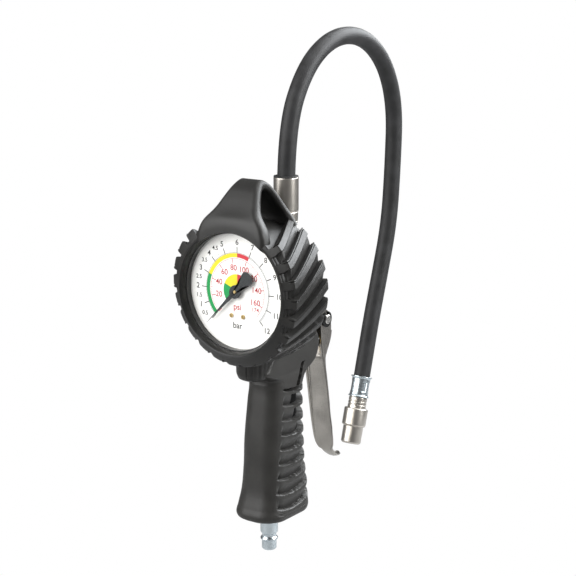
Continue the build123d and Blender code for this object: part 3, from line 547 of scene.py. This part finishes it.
def boot_ring():
    """The ribbed ring: front lip, ribbed outside, back edge and bore."""
    columns = RIBS * 40
    theta = np.linspace(0, 360, columns, endpoint=False)
    rows = []
    lip = ((BOOT_FRONT + 6.0, 39.4), (BOOT_FRONT + 4.6, 38.3), (BOOT_FRONT + 4.2, 38.25),
           (BOOT_FRONT + 0.9, 39.5), (BOOT_FRONT + 0.3, 39.9), (BOOT_FRONT, LIP_RADIUS - 0.2))
    for y, radius in lip:
        rows.append((y, np.full(columns, radius), 0.0))
    for y in np.concatenate((np.linspace(BOOT_FRONT + 0.2, BOOT_FRONT + 18.0, 62),
                             np.linspace(BOOT_FRONT + 18.5, BOOT_BACK, 34))):
        rows.append((y, rib_radius(theta, y), rib_sweep(theta, y)))
    for y, radius in ((BOOT_BACK, GROOVE_FLOOR - 3), (BOOT_BACK, CASE_BORE - 6),
                      (BOOT_BACK - 3.0, CASE_BORE - 6), (BOOT_BACK - 3.2, CASE_BORE)):
        rows.append((y, np.full(columns, radius), rib_sweep(theta, BOOT_BACK)))
    points = []
    for y, radius, turned_by in rows:
        angles = np.radians(theta + turned_by)
        points += list(zip(radius * np.cos(angles), np.full(columns, y),
                           GAUGE[2] + radius * np.sin(angles)))
    faces = grid_faces(len(rows), columns, wrap_rows=True, wrap_columns=True)
    piece = make("boot_ring", points, faces, BOOT_LOOK, "handle", math.radians(60))
    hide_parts("gauge_boot")


# Hanging loop: outer and inner side outlines as Y and height, matched point by point
LOOP_OUTER = ((-43.1, 143.0), (-42.7, 150.0), (-41.3, 157.5), (-37.5, 166.0), (-31.5, 175.0),
              (-25.0, 182.0), (-18.5, 185.2), (-12.5, 182.5), (-8.3, 177.0), (-5.0, 170.5),
              (-2.0, 163.5), (-1.8, 156.0))
LOOP_INNER = ((-33.0, 143.0), (-32.5, 150.0), (-30.6, 158.0), (-27.2, 166.0), (-23.5, 172.5),
              (-20.0, 176.8), (-17.0, 178.4), (-14.2, 177.0), (-11.0, 172.8), (-8.2, 167.5),
              (-6.0, 161.5), (-6.0, 156.0))
# Half width of the loop by height
LOOP_WIDTH = ((140.0, 27.0), (148.0, 27.6), (156.0, 25.2), (165.5, 18.6), (175.0, 14.3), (181.0, 11.8),
              (186.0, 9.5))
WINDOW_RIM = 38.9


def spline_points(points, count):
    """Evenly spaced points on a smooth line through the given ones."""
    points = np.array(points, float)
    steps = np.linalg.norm(np.diff(points, axis=0), axis=1)
    walked = np.concatenate(([0], np.cumsum(steps)))
    table = np.column_stack((walked, points))
    return np.array([between(table, s) for s in np.linspace(0, walked[-1], count)])


def loop_lift(x, z, y):
    """How far the loop's front leg moves up to end on the window's rim."""
    rim = GAUGE[2] + math.sqrt(max(0.0, WINDOW_RIM**2 - x * x))
    share = 1 - float(smooth_step(z, LOOP_OUTER[0][1], 172.0))
    front = 1 - float(smooth_step(y, -26.0, -14.0))
    return max(0.0, rim - LOOP_OUTER[0][1]) * share * front


def boot_loop():
    """The hanging loop over the gauge: a broad rounded strap bent over a tunnel."""
    stations = 60
    outer, inner = spline_points(LOOP_OUTER, stations), spline_points(LOOP_INNER, stations)
    rings = []
    for out, into in zip(outer, inner):
        half_width = between(LOOP_WIDTH, out[1])[0]
        thickness = np.linalg.norm(out - into)
        section = rounded_rectangle(half_width, thickness / 2, min(4.4, thickness * 0.48), 96)
        ring = []
        for x, depth in section:
            share = 0.5 + depth / thickness
            place = out + (into - out) * share
            ring.append((x, place[0], place[1] + loop_lift(x, place[1], place[0])))
        rings.append(ring)
    piece = loft("boot_loop", rings, BOOT_LOOK, "handle", math.radians(70), True)
    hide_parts("gauge_boot")


# Height, half width, front and back in Y, and corner radius of the collar's sections
COLLAR_SECTIONS = (
    (52.8, 6.5, -23.5, -7.0, 6.0),
    (53.8, 8.8, -25.8, -5.2, 8.0),
    (56.0, 10.4, -27.4, -4.5, 9.8),
    (62.0, 11.0, -28.4, -3.4, 10.4),
    (70.0, 11.3, -29.5, -2.6, 10.4),
    (78.0, 12.5, -33.0, -2.2, 9.0),
)


def boot_collar():
    """The rubber collar below the ring, where the gauge sits on the handle's arm."""
    rings = []
    for z in np.linspace(COLLAR_SECTIONS[0][0], COLLAR_SECTIONS[-1][0], 40):
        half_x, low, high, corner = between(COLLAR_SECTIONS, z)
        outline = rounded_rectangle(half_x, (high - low) / 2, corner, 120)
        ring = []
        for x, y in outline:
            angle = math.atan2(y, x)
            flute = 0.7 * smooth_step(math.cos(18 * angle), 0.0, 0.8) * smooth_step(z, 54, 57)
            shrink = 1 - flute * (1 if x > 2 and y < 2 else 0) / 15
            ring.append((x * shrink, (low + high) / 2 + y * shrink, z))
        rings.append(ring)
    piece = loft("boot_collar", rings, BOOT_LOOK, "handle")
    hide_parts("gauge_boot")


# ------------------------------------------------------------------ handle
# Height, half width, front and back in Y, and corner radius of the handle's sections
HANDLE_SECTIONS = (
    (-45.0, 17.6, -20.6, 28.2, 14.0),
    (-42.0, 18.4, -21.6, 29.2, 14.0),
    (-36.0, 17.6, -20.1, 29.5, 13.2),
    (-28.0, 16.5, -17.9, 30.1, 12.5),
    (-10.0, 15.4, -16.1, 28.3, 12.2),
    (8.0, 15.0, -15.5, 27.5, 12.0),
    (36.0, 14.0, -12.5, 27.5, 11.5),
    (47.0, 13.4, -11.3, 29.0, 11.0),
    (51.5, 13.0, -11.6, 32.0, 9.0),
    (54.0, 12.6, -16.5, 36.0, 7.0),
    (56.5, 12.4, -20.5, 40.0, 6.0),
    (61.0, 12.1, -18.0, 43.6, 5.5),
    (65.0, 12.0, -14.5, 44.5, 5.0),
    (70.0, 12.0, -10.0, 44.5, 5.0),
    (74.0, 12.0, -6.0, 43.0, 5.5),
    (78.0, 12.0, -3.0, 36.0, 6.0),
    (84.5, 11.8, 0.5, 33.0, 7.0),
)
# The fins on the finger side: where they start in Y at the top fin and how the start moves forward
# further down, the dip and rise of their lines, and the arch that they make over the fingers
FIN_TOP = 42.4
FIN_PITCH = 9.85
FIN_SHARE = 0.2
FIN_BOTTOM = -38.5
FIN_START, FIN_LEAN = -2.8, 0.136
FIN_DIP, FIN_RISE, FIN_ARCH = 0.3, 0.0094, 5.0
# Depth of the shallow cells, of the deep gaps behind them and of the slots, and where the gaps start
CELL_DEPTH = 3.6
GAP_DEPTH = 9.0
GAP_START, GAP_LEAN = 16.0, 0.25
SLOT_DEPTH = 5.5
CORE_INSET = 4.6
# Curved slots at the top of the grip: lower end and upper end as Y and height, and half width
SLOTS = (((13.5, 41.2), (22.8, 58.6), 1.5), ((24.6, 44.6), (29.6, 53.4), 1.3))


def fin_cut(x, y, z):
    """How far the finger side is cut in between the fins. It takes arrays of X and Y."""
    start = FIN_START - (FIN_TOP - z) * FIN_LEAN
    run = np.clip(y - start, 0.0, 40.0)
    arch = FIN_ARCH * smooth_step(y, 17.0, 25.0) * np.clip(1 - np.abs(x) / 13.0, 0, 1)
    line = -FIN_DIP * run + FIN_RISE * run * run + arch
    phase = ((FIN_TOP + line - z) / FIN_PITCH + FIN_SHARE / 2) % 1.0
    cell = smooth_step(phase, FIN_SHARE, FIN_SHARE + 0.05)
    deepening = ((phase - FIN_SHARE) / (1 - FIN_SHARE)).clip(0, 1) ** 1.3
    wall = 1 - smooth_step(phase, 0.965, 1.0)
    side = CELL_DEPTH * cell * deepening * wall * smooth_step(y, start, start + 3.0)
    gap_start = GAP_START - GAP_LEAN * z
    gap = GAP_DEPTH * cell * wall * smooth_step(y, gap_start, gap_start + 0.8)
    reach = smooth_step(z - line, FIN_BOTTOM - 1, FIN_BOTTOM) * (1 - smooth_step(z - line, 44.0, 46.0))
    return np.maximum(side, gap) * reach + slot_cut(y, z)


def slot_cut(y, z):
    """How deep the two curved slots are. It takes an array of Y."""
    depth = np.zeros_like(y)
    for (low_y, low_z), (high_y, high_z), half in SLOTS:
        share = (z - low_z) / (high_z - low_z)
        if not 0.0 < share < 1.0:
            continue
        centre = low_y + (high_y - low_y) * share**1.2
        ends = smooth_step(share, 0.0, 0.06) * (1 - smooth_step(share, 0.94, 1.0))
        inside = 1 - smooth_step(np.abs(y - centre), half - 0.3, half + 0.3)
        depth = np.maximum(depth, SLOT_DEPTH * ends * inside)
    return depth


def handle_shell():
    """Grip, neck and valve boss in one moulding."""
    rings = []
    heights = np.concatenate((np.linspace(GRIP_BOTTOM, GRIP_BOTTOM + 2.0, 6), np.linspace(-42.7, 58.0, 300),
                              np.linspace(58.5, 84.5, 44)))
    for z in heights:
        half_x, low, high, corner = between(HANDLE_SECTIONS, z)
        rim = 1.6 * (1 - smooth_step(z, GRIP_BOTTOM - 0.6, GRIP_BOTTOM + 2.0)) ** 2
        outline = rounded_rectangle(half_x - rim, (high - low) / 2 - rim, corner, 300)
        ahead = np.roll(outline, -1, axis=0) - np.roll(outline, 1, axis=0)
        normals = np.stack((ahead[:, 1], -ahead[:, 0]), axis=1)
        normals /= np.linalg.norm(normals, axis=1)[:, None]
        placed = outline + np.array((0.0, (low + high) / 2))
        depth = fin_cut(placed[:, 0], placed[:, 1], z)
        placed = placed - normals * depth[:, None]
        rings.append([(x, y, z) for x, y in placed])
    piece = loft("handle_shell", rings, GRIP_LOOK, "handle", math.radians(70))
    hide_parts("grip_housing")


def grip_core():
    """The inside of the grip, seen through the gaps between its fins; its near-black colour is painted shade
    for those deep gaps.
    """
    rings = []
    for z in np.linspace(-39.0, 64.0, 60):
        half_x, low, high, corner = between(HANDLE_SECTIONS, z)
        outline = rounded_rectangle(half_x - CORE_INSET, (high - low) / 2 - CORE_INSET,
                                    max(1.0, corner - CORE_INSET), 64)
        rings.append([(x, y + (low + high) / 2, z) for x, y in outline])
    piece = loft("grip_core", rings, GAP_SHADE_LOOK, "handle")
    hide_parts("grip_housing")


def pivot_lug():
    """The lug that carries the lever's pin."""
    radius = 6.2
    outline = [(30.0, 76.0), (30.0, 84.0), (36.0, 86.2)]
    outline += [(PIN[1] + radius * math.cos(a), PIN[2] + radius * math.sin(a))
                for a in np.radians(range(100, -101, -10))]
    half = box_mm("lever")[1][0] - 1.8
    rings = []
    for x, inset in ((-half, 0.6), (-half + 0.6, 0.0), (half - 0.6, 0.0), (half, 0.6)):
        middle_point = np.mean(np.array(outline), axis=0)
        ring = []
        for y, z in outline:
            away = np.array((y, z)) - middle_point
            away *= 1 - inset / np.linalg.norm(away)
            ring.append((x, *(middle_point + away)))
        rings.append(ring)
    piece = loft("pivot_lug", rings, GRIP_LOOK, "handle", math.radians(35))
    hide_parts("grip_housing")


# ------------------------------------------------------------------ lever
# Height, outer face of the web and front edge of the sides (both Y), and half width
LEVER_LINE = (
    (-18.2, 69.5, 68.2, 2.4),
    (-17.6, 69.4, 68.0, 4.4),
    (-16.2, 69.0, 67.6, 6.0),
    (-13.8, 68.4, 66.9, 7.2),
    (-10.0, 67.5, 65.8, 7.9),
    (-4.0, 66.2, 64.4, 8.3),
    (2.0, 65.0, 63.2, 8.5),
    (10.0, 63.6, 61.4, 8.4),
    (21.0, 62.2, 59.4, 8.5),
    (32.0, 60.4, 57.4, 8.5),
    (43.0, 58.6, 54.9, 8.5),
    (49.0, 57.7, 53.4, 8.5),
    (53.0, 57.6, 52.2, 8.5),
    (57.0, 59.4, 51.6, 8.5),
    (62.0, 62.2, 50.8, 8.5),
    (67.0, 64.3, 50.0, 8.5),
    (72.0, 65.1, 49.5, 8.5),
    (77.0, 64.8, 49.2, 8.5),
    (81.0, 63.6, 49.5, 8.5),
    (84.0, 62.2, 50.4, 8.5),
    (86.5, 60.0, 52.0, 8.5),
    (87.8, 57.4, 54.0, 8.5),
)
LEVER_SHEET = 1.5
LEVER_WEB_TOP = 70.0


def lever_section(web, front, half_width):
    """Half of the channel's outer section, from the middle of the web to the front edge."""
    radius = min(3.2, 0.85 * (web - front), 0.8 * half_width)
    points = [(share * (half_width - radius), web) for share in np.linspace(0, 1, 8)]
    points += [(half_width - radius + radius * math.sin(a), web - radius + radius * math.cos(a))
               for a in np.linspace(0, math.pi / 2, 9)[1:]]
    points += [(half_width, y) for y in np.linspace(web - radius, front, 7)[1:]]
    return points


def lever_body():
    """The pressed channel: sides and web in one sheet, with the web open above."""
    rows = []
    heights = np.concatenate((np.linspace(-18.2, -12.0, 18), np.linspace(-11.5, 84.0, 110),
                              np.linspace(84.3, 87.8, 12)))
    for z in heights:
        web, front, half_width = between(LEVER_LINE, z)
        half = lever_section(web, front, half_width)
        row = [(-x, y, z) for x, y in reversed(half[1:])] + [(x, y, z) for x, y in half]
        rows.append(row)
    columns = len(rows[0])
    points = [p for row in rows for p in row]
    web_columns = range(columns // 2 - 15, columns // 2 + 15)
    faces = []
    for face in grid_faces(len(rows), columns):
        row, column = face[0] // columns, face[0] % columns
        if heights[row] > LEVER_WEB_TOP and column in web_columns:
            continue
        faces.append(face)
    used = sorted({index for face in faces for index in face})
    place = {index: k for k, index in enumerate(used)}
    piece = make("lever_body", [points[i] for i in used], [tuple(place[i] for i in f) for f in faces],
                 LEVER_LOOK, "lever", math.radians(50))
    orient_outwards(piece)
    sheet = piece.modifiers.new("sheet", "SOLIDIFY")
    sheet.thickness = LEVER_SHEET * MM
    sheet.offset = -1.0
    edge = piece.modifiers.new("edge", "BEVEL")
    edge.width = 0.3 * MM
    edge.segments = 2
    edge.limit_method = "ANGLE"
    edge.angle_limit = math.radians(50)
    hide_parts("lever")


def orient_outwards(piece):
    """Turns an open sheet's faces so that the web looks away from the grip."""
    mesh = piece.data
    total = sum((p.normal.y * p.area for p in mesh.polygons if abs(p.normal.y) > 0.8), 0.0)
    if total < 0:
        mesh.flip_normals()


def lever_lip():
    """The small curled tongue at the lever's end."""
    line = spline_points(((68.4, -12.5), (69.6, -16.5), (72.2, -20.2), (76.8, -23.6), (81.5, -24.6),
                          (84.6, -23.4)), 30)
    rings = []
    for index, (y, z) in enumerate(line):
        share = index / (len(line) - 1)
        ahead = line[min(index + 1, len(line) - 1)] - line[max(index - 1, 0)]
        ahead /= np.linalg.norm(ahead)
        normal = np.array((-ahead[1], ahead[0]))
        half_width = 5.4 - 1.6 * share - 2.6 * smooth_step(share, 0.86, 1.0)
        ring = []
        for x, depth in rounded_rectangle(half_width, 0.65, 0.5, 40):
            place = np.array((y, z)) + normal * (depth - 0.65 + 0.10 * x * x * share)
            ring.append((x, place[0], place[1]))
        rings.append(ring)
    piece = loft("lever_lip", rings, LEVER_LOOK, "lever")
    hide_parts("lever")


# ------------------------------------------------------------------ gauge
def bezel():
    """The ring that holds the window."""
    piece = turned("bezel", ((3.0, 37.7), (3.0, 39.6), (5.0, 39.6), (5.0, 39.3), (7.3, 39.3), (7.3, 37.7)),
                   (0, BEZEL_FRONT, GAUGE[2]), (0, 1, 0), BEZEL_LOOK, "handle", 0.3, 160)
    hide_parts("bezel_ring")


SCALE_START = 225.0
SCALE_SWEEP = 270.0
BAR_MAX = 12.0
PSI_PER_BAR = 14.5038


def dial_angle(bar):
    """Direction of a pressure on the dial, in degrees counter-clockwise from +X."""
    return SCALE_START - SCALE_SWEEP * bar / BAR_MAX


def on_dial(radius, degrees, layer=0.0):
    """A place just in front of the dial."""
    angle = math.radians(degrees)
    return (radius * math.cos(angle), DIAL_FRONT - 0.04 - layer, GAUGE[2] + radius * math.sin(angle))


def band(inner, outer, start, end, layer=0.0):
    """A flat ring sector of print, as points and faces."""
    steps = max(3, int(abs(end - start) / 1.5))
    points, faces = [], []
    for k in range(steps + 1):
        degrees = start + (end - start) * k / steps
        points += [on_dial(inner, degrees, layer), on_dial(outer, degrees, layer)]
    for k in range(steps):
        faces.append((2 * k, 2 * k + 1, 2 * k + 3, 2 * k + 2))
    return points, faces


def tick(inner, outer, degrees, width):
    """One line of a scale, as points and faces."""
    half = math.degrees(width / 2 / ((inner + outer) / 2))
    return ([on_dial(inner, degrees - half), on_dial(outer, degrees - half),
             on_dial(outer, degrees + half), on_dial(inner, degrees + half)], [(0, 1, 2, 3)])


def sector(radius, start, end):
    """A slice of the zone disc, as points and faces."""
    points, faces = [on_dial(0, 0)], []
    steps = max(3, int(abs(end - start) / 2))
    for k in range(steps + 1):
        points.append(on_dial(radius, start + (end - start) * k / steps))
    for k in range(steps):
        faces.append((0, k + 1, k + 2))
    return points, faces


def printed(name, shapes, look):
    """Flat print on the dial, made of several shapes. It faces the reader."""
    points, faces = [], []
    for shape_points, shape_faces in shapes:
        first = len(points)
        points += shape_points
        faces += [tuple(first + i for i in face) for face in shape_faces]
    piece = make(name, points, faces, look, "handle")
    for polygon in piece.data.polygons:
        if polygon.normal.y > 0:
            polygon.flip()
    return piece


def label(text, size, radius, degrees):
    """A printed word or number, upright, centred on a place on the dial."""
    curve = bpy.data.curves.new("label", "FONT")
    curve.body = text
    curve.size = size * MM
    curve.offset = size * MM * 0.012
    curve.align_x, curve.align_y = "CENTER", "CENTER"
    maker = bpy.data.objects.new("label", curve)
    bpy.context.collection.objects.link(maker)
    bpy.context.view_layer.update()
    mesh = bpy.data.meshes.new_from_object(maker.evaluated_get(bpy.context.evaluated_depsgraph_get()))
    centre = np.array(on_dial(radius, degrees, 0.02))
    points = [(centre[0] + v.co.x / MM, centre[1], centre[2] + v.co.y / MM) for v in mesh.vertices]
    faces = [tuple(p.vertices) for p in mesh.polygons]
    bpy.data.objects.remove(maker)
    bpy.data.curves.remove(curve)
    bpy.data.meshes.remove(mesh)
    return points, faces


def dial_print():
    """Two scales, coloured zones and a small zone disc in the middle."""
    black, grey, red = [], [], []
    for bar in range(0, 13):
        black.append(tick(24.6, 28.6, dial_angle(bar), 0.6))
    for step in range(0, 121):
        bar = step / 10
        length = 2.4 if step % 5 == 0 else 1.2
        if step % 10:
            grey.append(tick(24.9, 25.0 + length, dial_angle(bar), 0.2))
    grey.append(band(24.75, 25.0, dial_angle(0), dial_angle(12)))
    black.append(band(24.2, 24.45, dial_angle(7), dial_angle(12), 0.01))
    for psi in range(0, 175, 2):
        angle = dial_angle(psi / PSI_PER_BAR)
        if psi % 20 == 0:
            red.append(tick(17.8, 21.2, angle, 0.5))
        elif psi % 10 == 0:
            red.append(tick(19.2, 21.2, angle, 0.2))
        else:
            red.append(tick(20.0, 21.2, angle, 0.13))
    red.append(band(21.1, 21.3, dial_angle(0), dial_angle(12)))
    for bar in range(1, 13):
        black.append(label(str(bar), 5.0, 31.6 if bar < 10 else 32.6, dial_angle(bar)))
    for bar in (0.5, 1.5, 2.5, 3.5, 4.5):
        black.append(label(str(bar), 3.9, 31.4, dial_angle(bar)))
    for psi in range(20, 161, 20):
        red.append(label(str(psi), 5.3, 15.2, dial_angle(psi / PSI_PER_BAR)))
    red.append(label("174", 3.8, 17.6, dial_angle(174 / PSI_PER_BAR) + 8))
    red.append(label("psi", 5.8, 10.4, 270))
    black.append(label("bar", 5.6, 22.6, 270))
    printed("dial_print_black", black, INK_BLACK)
    printed("dial_print_grey", grey, INK_GREY)
    printed("dial_print_red", red, INK_RED)
    for colour, start, end, look in (("green", 0, 3, BAND_GREEN), ("yellow", 3, 6, BAND_YELLOW),
                                     ("red", 6, 7, BAND_RED)):
        start, end = dial_angle(start), dial_angle(end)
        printed("dial_zone_" + colour, [band(21.9, 24.6, start, end, 0.01), sector(11, start, end)], look)


def pointer():
    """Needle with a spade tail and a round hub with a small rivet."""
    outline = [(32.5, 0.0), (20.0, 0.55), (8.0, 1.3), (4.4, 1.7), (3.6, 2.9), (0.0, 4.2), (-3.6, 2.9),
               (-5.4, 1.5), (-8.6, 2.5), (-12.3, 4.5), (-14.8, 4.6), (-16.4, 3.0), (-16.9, 0.0)]
    upper = spline_points(outline, 70)
    shape = [tuple(p) for p in upper] + [(x, -y) for x, y in reversed(upper[1:-1])]
    turn = math.radians(SCALE_START)
    face = box_mm("pointer")[0][1]
    rings = []
    for depth, inset in ((0.7, 0.0), (0.2, 0.0), (0.0, 0.25)):
        ring = []
        for x, y in shape:
            reach = math.hypot(x, y)
            share = 1 - inset / max(reach, 1.0)
            px, py = x * (share if abs(x) > 20 else 1), y * share
            ring.append((px * math.cos(turn) - py * math.sin(turn), face + depth,
                         GAUGE[2] + px * math.sin(turn) + py * math.cos(turn)))
        rings.append(ring)
    piece = loft("pointer_blade", rings, POINTER_LOOK, "pointer", math.radians(30))
    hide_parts("pointer")
    hub = turned("pointer_hub", ((0.0, 0.0), (0.0, 0.9), (0.5, 1.2), (1.0, 1.2), (1.0, 0.0)),
                 (0, face - 0.5, GAUGE[2]), (0, 1, 0), BRASS_LOOK, "pointer", 0.1, 32)
    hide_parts("pointer")


# ------------------------------------------------------------------ turned fittings
def top_fitting():
    """The hose's top ferrule with the collar below it and a black ring above it that paints the ferrule's
    shaded top face.
    """
    axis, origin = (0, 0, 1), (0, COLUMN[1], 0)
    sleeve = turned("ferrule_sleeve", ((159.3, 6.1), (159.3, 8.0), (160.0, 8.3), (181.6, 8.3), (182.0, 8.1),
                                       (182.0, 6.1)), origin, axis, NICKEL_LOOK, "handle")
    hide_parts("hose_ferrule")
    collar = turned("nipple_collar", ((151.0, 4.0), (151.0, 7.2), (151.8, 7.7), (152.6, 7.7), (152.9, 7.4),
                                      (153.2, 7.8), (158.6, 8.0), (159.3, 7.8), (159.3, 4.0)),
                    origin, axis, NICKEL_LOOK, "handle")
    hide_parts("hose_nipple")
    # The thin black ring on top of the sleeve stands in for the dark top face of the ferrule: painted shade.
    ring = turned("ferrule_top_shade_ring", ((181.9, 6.02), (181.9, 8.25), (182.9, 8.2), (183.0, 6.02)),
                  origin, axis, SEAL_LOOK, "handle")
    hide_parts("ferrule_ring")


def hose():
    """The hose as one smooth curve."""
    curve = bpy.data.curves.new("hose_line", "CURVE")
    curve.dimensions = "3D"
    spline = curve.splines.new("NURBS")
    spline.points.add(len(HOSE_ROUTE) - 1)
    for point, place in zip(spline.points, HOSE_ROUTE):
        point.co = (*place, 1.0)
    spline.order_u = 3
    spline.use_endpoint_u = True
    curve.resolution_u = 16
    curve.bevel_depth = HOSE_DIAMETER / 2
    curve.bevel_resolution = 10
    curve.use_fill_caps = True
    curve.materials.append(HOSE_LOOK)
    piece = bpy.data.objects.new("air_hose", curve)
    bpy.context.collection.objects.link(piece)
    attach(piece, "handle")
    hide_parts("hose")
    return piece


def end_ferrule():
    """Pressed ferrule with flared rims and a row of crimp windows."""

    def crimped(distance, radius, angle):
        if radius < 6.4:
            return radius
        across = smooth_step(math.cos(6 * angle), -0.15, 0.15)
        along = smooth_step(distance, 3.8, 4.3) * (1 - smooth_step(distance, 11.0, 11.5))
        return radius - 0.6 * across * along

    outline = [(0.0, 6.05), (0.0, 7.7), (0.7, 7.7), (1.6, 6.75)]
    outline += [(d, 6.7) for d in np.linspace(2.2, 13.2, 30)]
    outline += [(13.9, 6.8), (14.5, 7.5), (15.2, 7.5), (15.2, 6.05)]
    piece = turned("crimp_ferrule", outline, CHUCK_START, CHUCK_AXIS, ZINC_LOOK, "handle", 0.2,
                   180, crimped)
    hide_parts("end_ferrule")
    return piece


def chuck_pieces():
    """The threaded stem between ferrule and sleeve, and the sliding sleeve."""
    neck_outline = [(15.2, 1.9), (15.2, 6.1), (15.8, 6.7), (18.2, 6.7), (18.4, 6.4), (18.8, 6.4), (19.0, 6.7)]
    neck_outline += [(20.6, 6.7), (20.8, 6.4), (21.2, 6.4), (21.4, 6.7), (26.4, 6.7), (26.4, 5.0)]
    neck_outline += [(37.9, 5.0), (37.9, 1.9)]
    stem = turned("stem_neck", neck_outline, CHUCK_START, CHUCK_AXIS, NICKEL_LOOK, "handle", 0.12)
    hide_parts("chuck_stem")
    sleeve_outline = ((23.7, 6.8), (23.7, 8.2), (24.3, 8.7), (35.6, 8.7), (36.4, 8.5), (37.0, 7.35),
                      (48.6, 7.3), (49.8, 6.3), (49.8, 5.35), (36.0, 5.35), (36.0, 7.25), (26.5, 7.25),
                      (26.5, 6.8))
    sleeve = turned("sleeve_body", sleeve_outline, CHUCK_START, CHUCK_AXIS, NICKEL_LOOK,
                    "chuck_sleeve", 0.25)
    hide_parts("chuck_sleeve")
    return stem, sleeve


def inlet_plug():
    """The quick-connect plug with its locking bead."""
    low = box_mm("inlet_plug")[0][2]
    outline = ((0.0, 3.5), (0.0, 4.1), (0.9, 4.95), (1.4, 5.0), (6.6, 5.0), (7.4, 5.9), (8.0, 6.0),
               (8.7, 5.7), (9.6, 4.9), (11.1, 4.9), (12.8, 6.0), (25.6, 6.0), (25.8, 7.3), (27.2, 7.3),
               (27.2, 5.9), (41.0, 5.9), (41.0, 3.5))
    piece = turned("plug_body", outline, (0, 0, low), (0, 0, 1), ZINC_LOOK, "handle", 0.35)
    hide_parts("inlet_plug")


# ------------------------------------------------------------------ room
SKY_LOW, SKY_HIGH = (0.13, 0.13, 0.13), (0.4, 0.4, 0.41)
FLOOR_REACH, FLOOR_DROP = 90.0, 0.35


def light(name, place, target, size, power, colour=(1, 1, 1)):
    """A soft rectangular lamp that looks at a place."""
    data = bpy.data.lights.new(name, "AREA")
    data.shape = "RECTANGLE"
    data.size, data.size_y = size
    data.energy = power
    data.color = colour
    lamp = bpy.data.objects.new(name, data)
    bpy.context.collection.objects.link(lamp)
    lamp.location = place
    lamp.rotation_mode = "QUATERNION"
    lamp.rotation_quaternion = (Vector(target) - Vector(place)).to_track_quat("-Z", "Y")


def surroundings():
    """White to the camera, and a dim grey sky that is brighter above for everything else."""
    world = bpy.data.worlds.new("room")
    world.use_nodes = True
    nodes, links = world.node_tree.nodes, world.node_tree.links
    place = nodes.new("ShaderNodeTexCoord")
    axes = nodes.new("ShaderNodeSeparateXYZ")
    links.new(place.outputs["Generated"], axes.inputs["Vector"])
    sky = nodes.new("ShaderNodeValToRGB")
    sky.color_ramp.elements[0].position, sky.color_ramp.elements[0].color = 0.0, (*SKY_LOW, 1)
    sky.color_ramp.elements[1].position, sky.color_ramp.elements[1].color = 0.9, (*SKY_HIGH, 1)
    links.new(axes.outputs["Z"], sky.inputs["Fac"])
    background = nodes["Background"]
    links.new(sky.outputs["Color"], background.inputs["Color"])
    white = nodes.new("ShaderNodeBackground")
    white.inputs["Color"].default_value = (1, 1, 1, 1)
    path = nodes.new("ShaderNodeLightPath")
    mix = nodes.new("ShaderNodeMixShader")
    links.new(path.outputs["Is Camera Ray"], mix.inputs["Fac"])
    links.new(background.outputs["Background"], mix.inputs[1])
    links.new(white.outputs["Background"], mix.inputs[2])
    links.new(mix.outputs["Shader"], nodes["World Output"].inputs["Surface"])
    bpy.context.scene.world = world


def floor_look():
    """A white floor that looks evenly lit to the camera and sends little light back up."""
    material, nodes, links, shader = new_material("floor_look")
    shader.inputs["Base Color"].default_value = (0.35, 0.35, 0.35, 1)
    shader.inputs["Roughness"].default_value = 0.9
    even = nodes.new("ShaderNodeEmission")
    path = nodes.new("ShaderNodeLightPath")
    mix = nodes.new("ShaderNodeMixShader")
    links.new(path.outputs["Is Camera Ray"], mix.inputs["Fac"])
    links.new(shader.outputs["BSDF"], mix.inputs[1])
    links.new(even.outputs["Emission"], mix.inputs[2])
    links.new(mix.outputs["Shader"], nodes["Material Output"].inputs["Surface"])
    return material


def room():
    """Pale floor far below the held tool and soft studio lights."""
    centre = Vector((0, 0.02, 0.1))
    light("key_light", (-0.75, -1.4, 0.85), centre, (1.7, 1.7), 50)
    light("top_light", (0.2, 0.3, 1.3), centre, (0.9, 0.7), 6)
    light("side_light", (1.2, 0.3, 0.6), centre, (0.35, 0.8), 16)
    light("rim_light", (0.5, 1.2, 0.95), centre, (1.7, 1.1), 60, (0.94, 0.97, 1.0))
    surroundings()
    mesh = bpy.data.meshes.new("floor")
    reach, level = FLOOR_REACH, cad_low.z - FLOOR_DROP
    mesh.from_pydata([(-reach, -reach, level), (reach, -reach, level), (reach, reach, level),
                      (-reach, reach, level)], [], [(0, 1, 2, 3)])
    floor = bpy.data.objects.new("floor", mesh)
    mesh.materials.append(floor_look())
    bpy.context.collection.objects.link(floor)


# ------------------------------------------------------------------ the scene
make_camera()
air_hose = hose()
dress_cad_nodes()
ferrule = end_ferrule()
stem_piece, sleeve_piece = chuck_pieces()
boot_ring()
boot_loop()
boot_collar()
handle_shell()
grip_core()
pivot_lug()
lever_body()
lever_lip()
bezel()
dial_print()
pointer()
top_fitting()
inlet_plug()
room()

bpy.context.scene.view_settings.view_transform = "Standard"
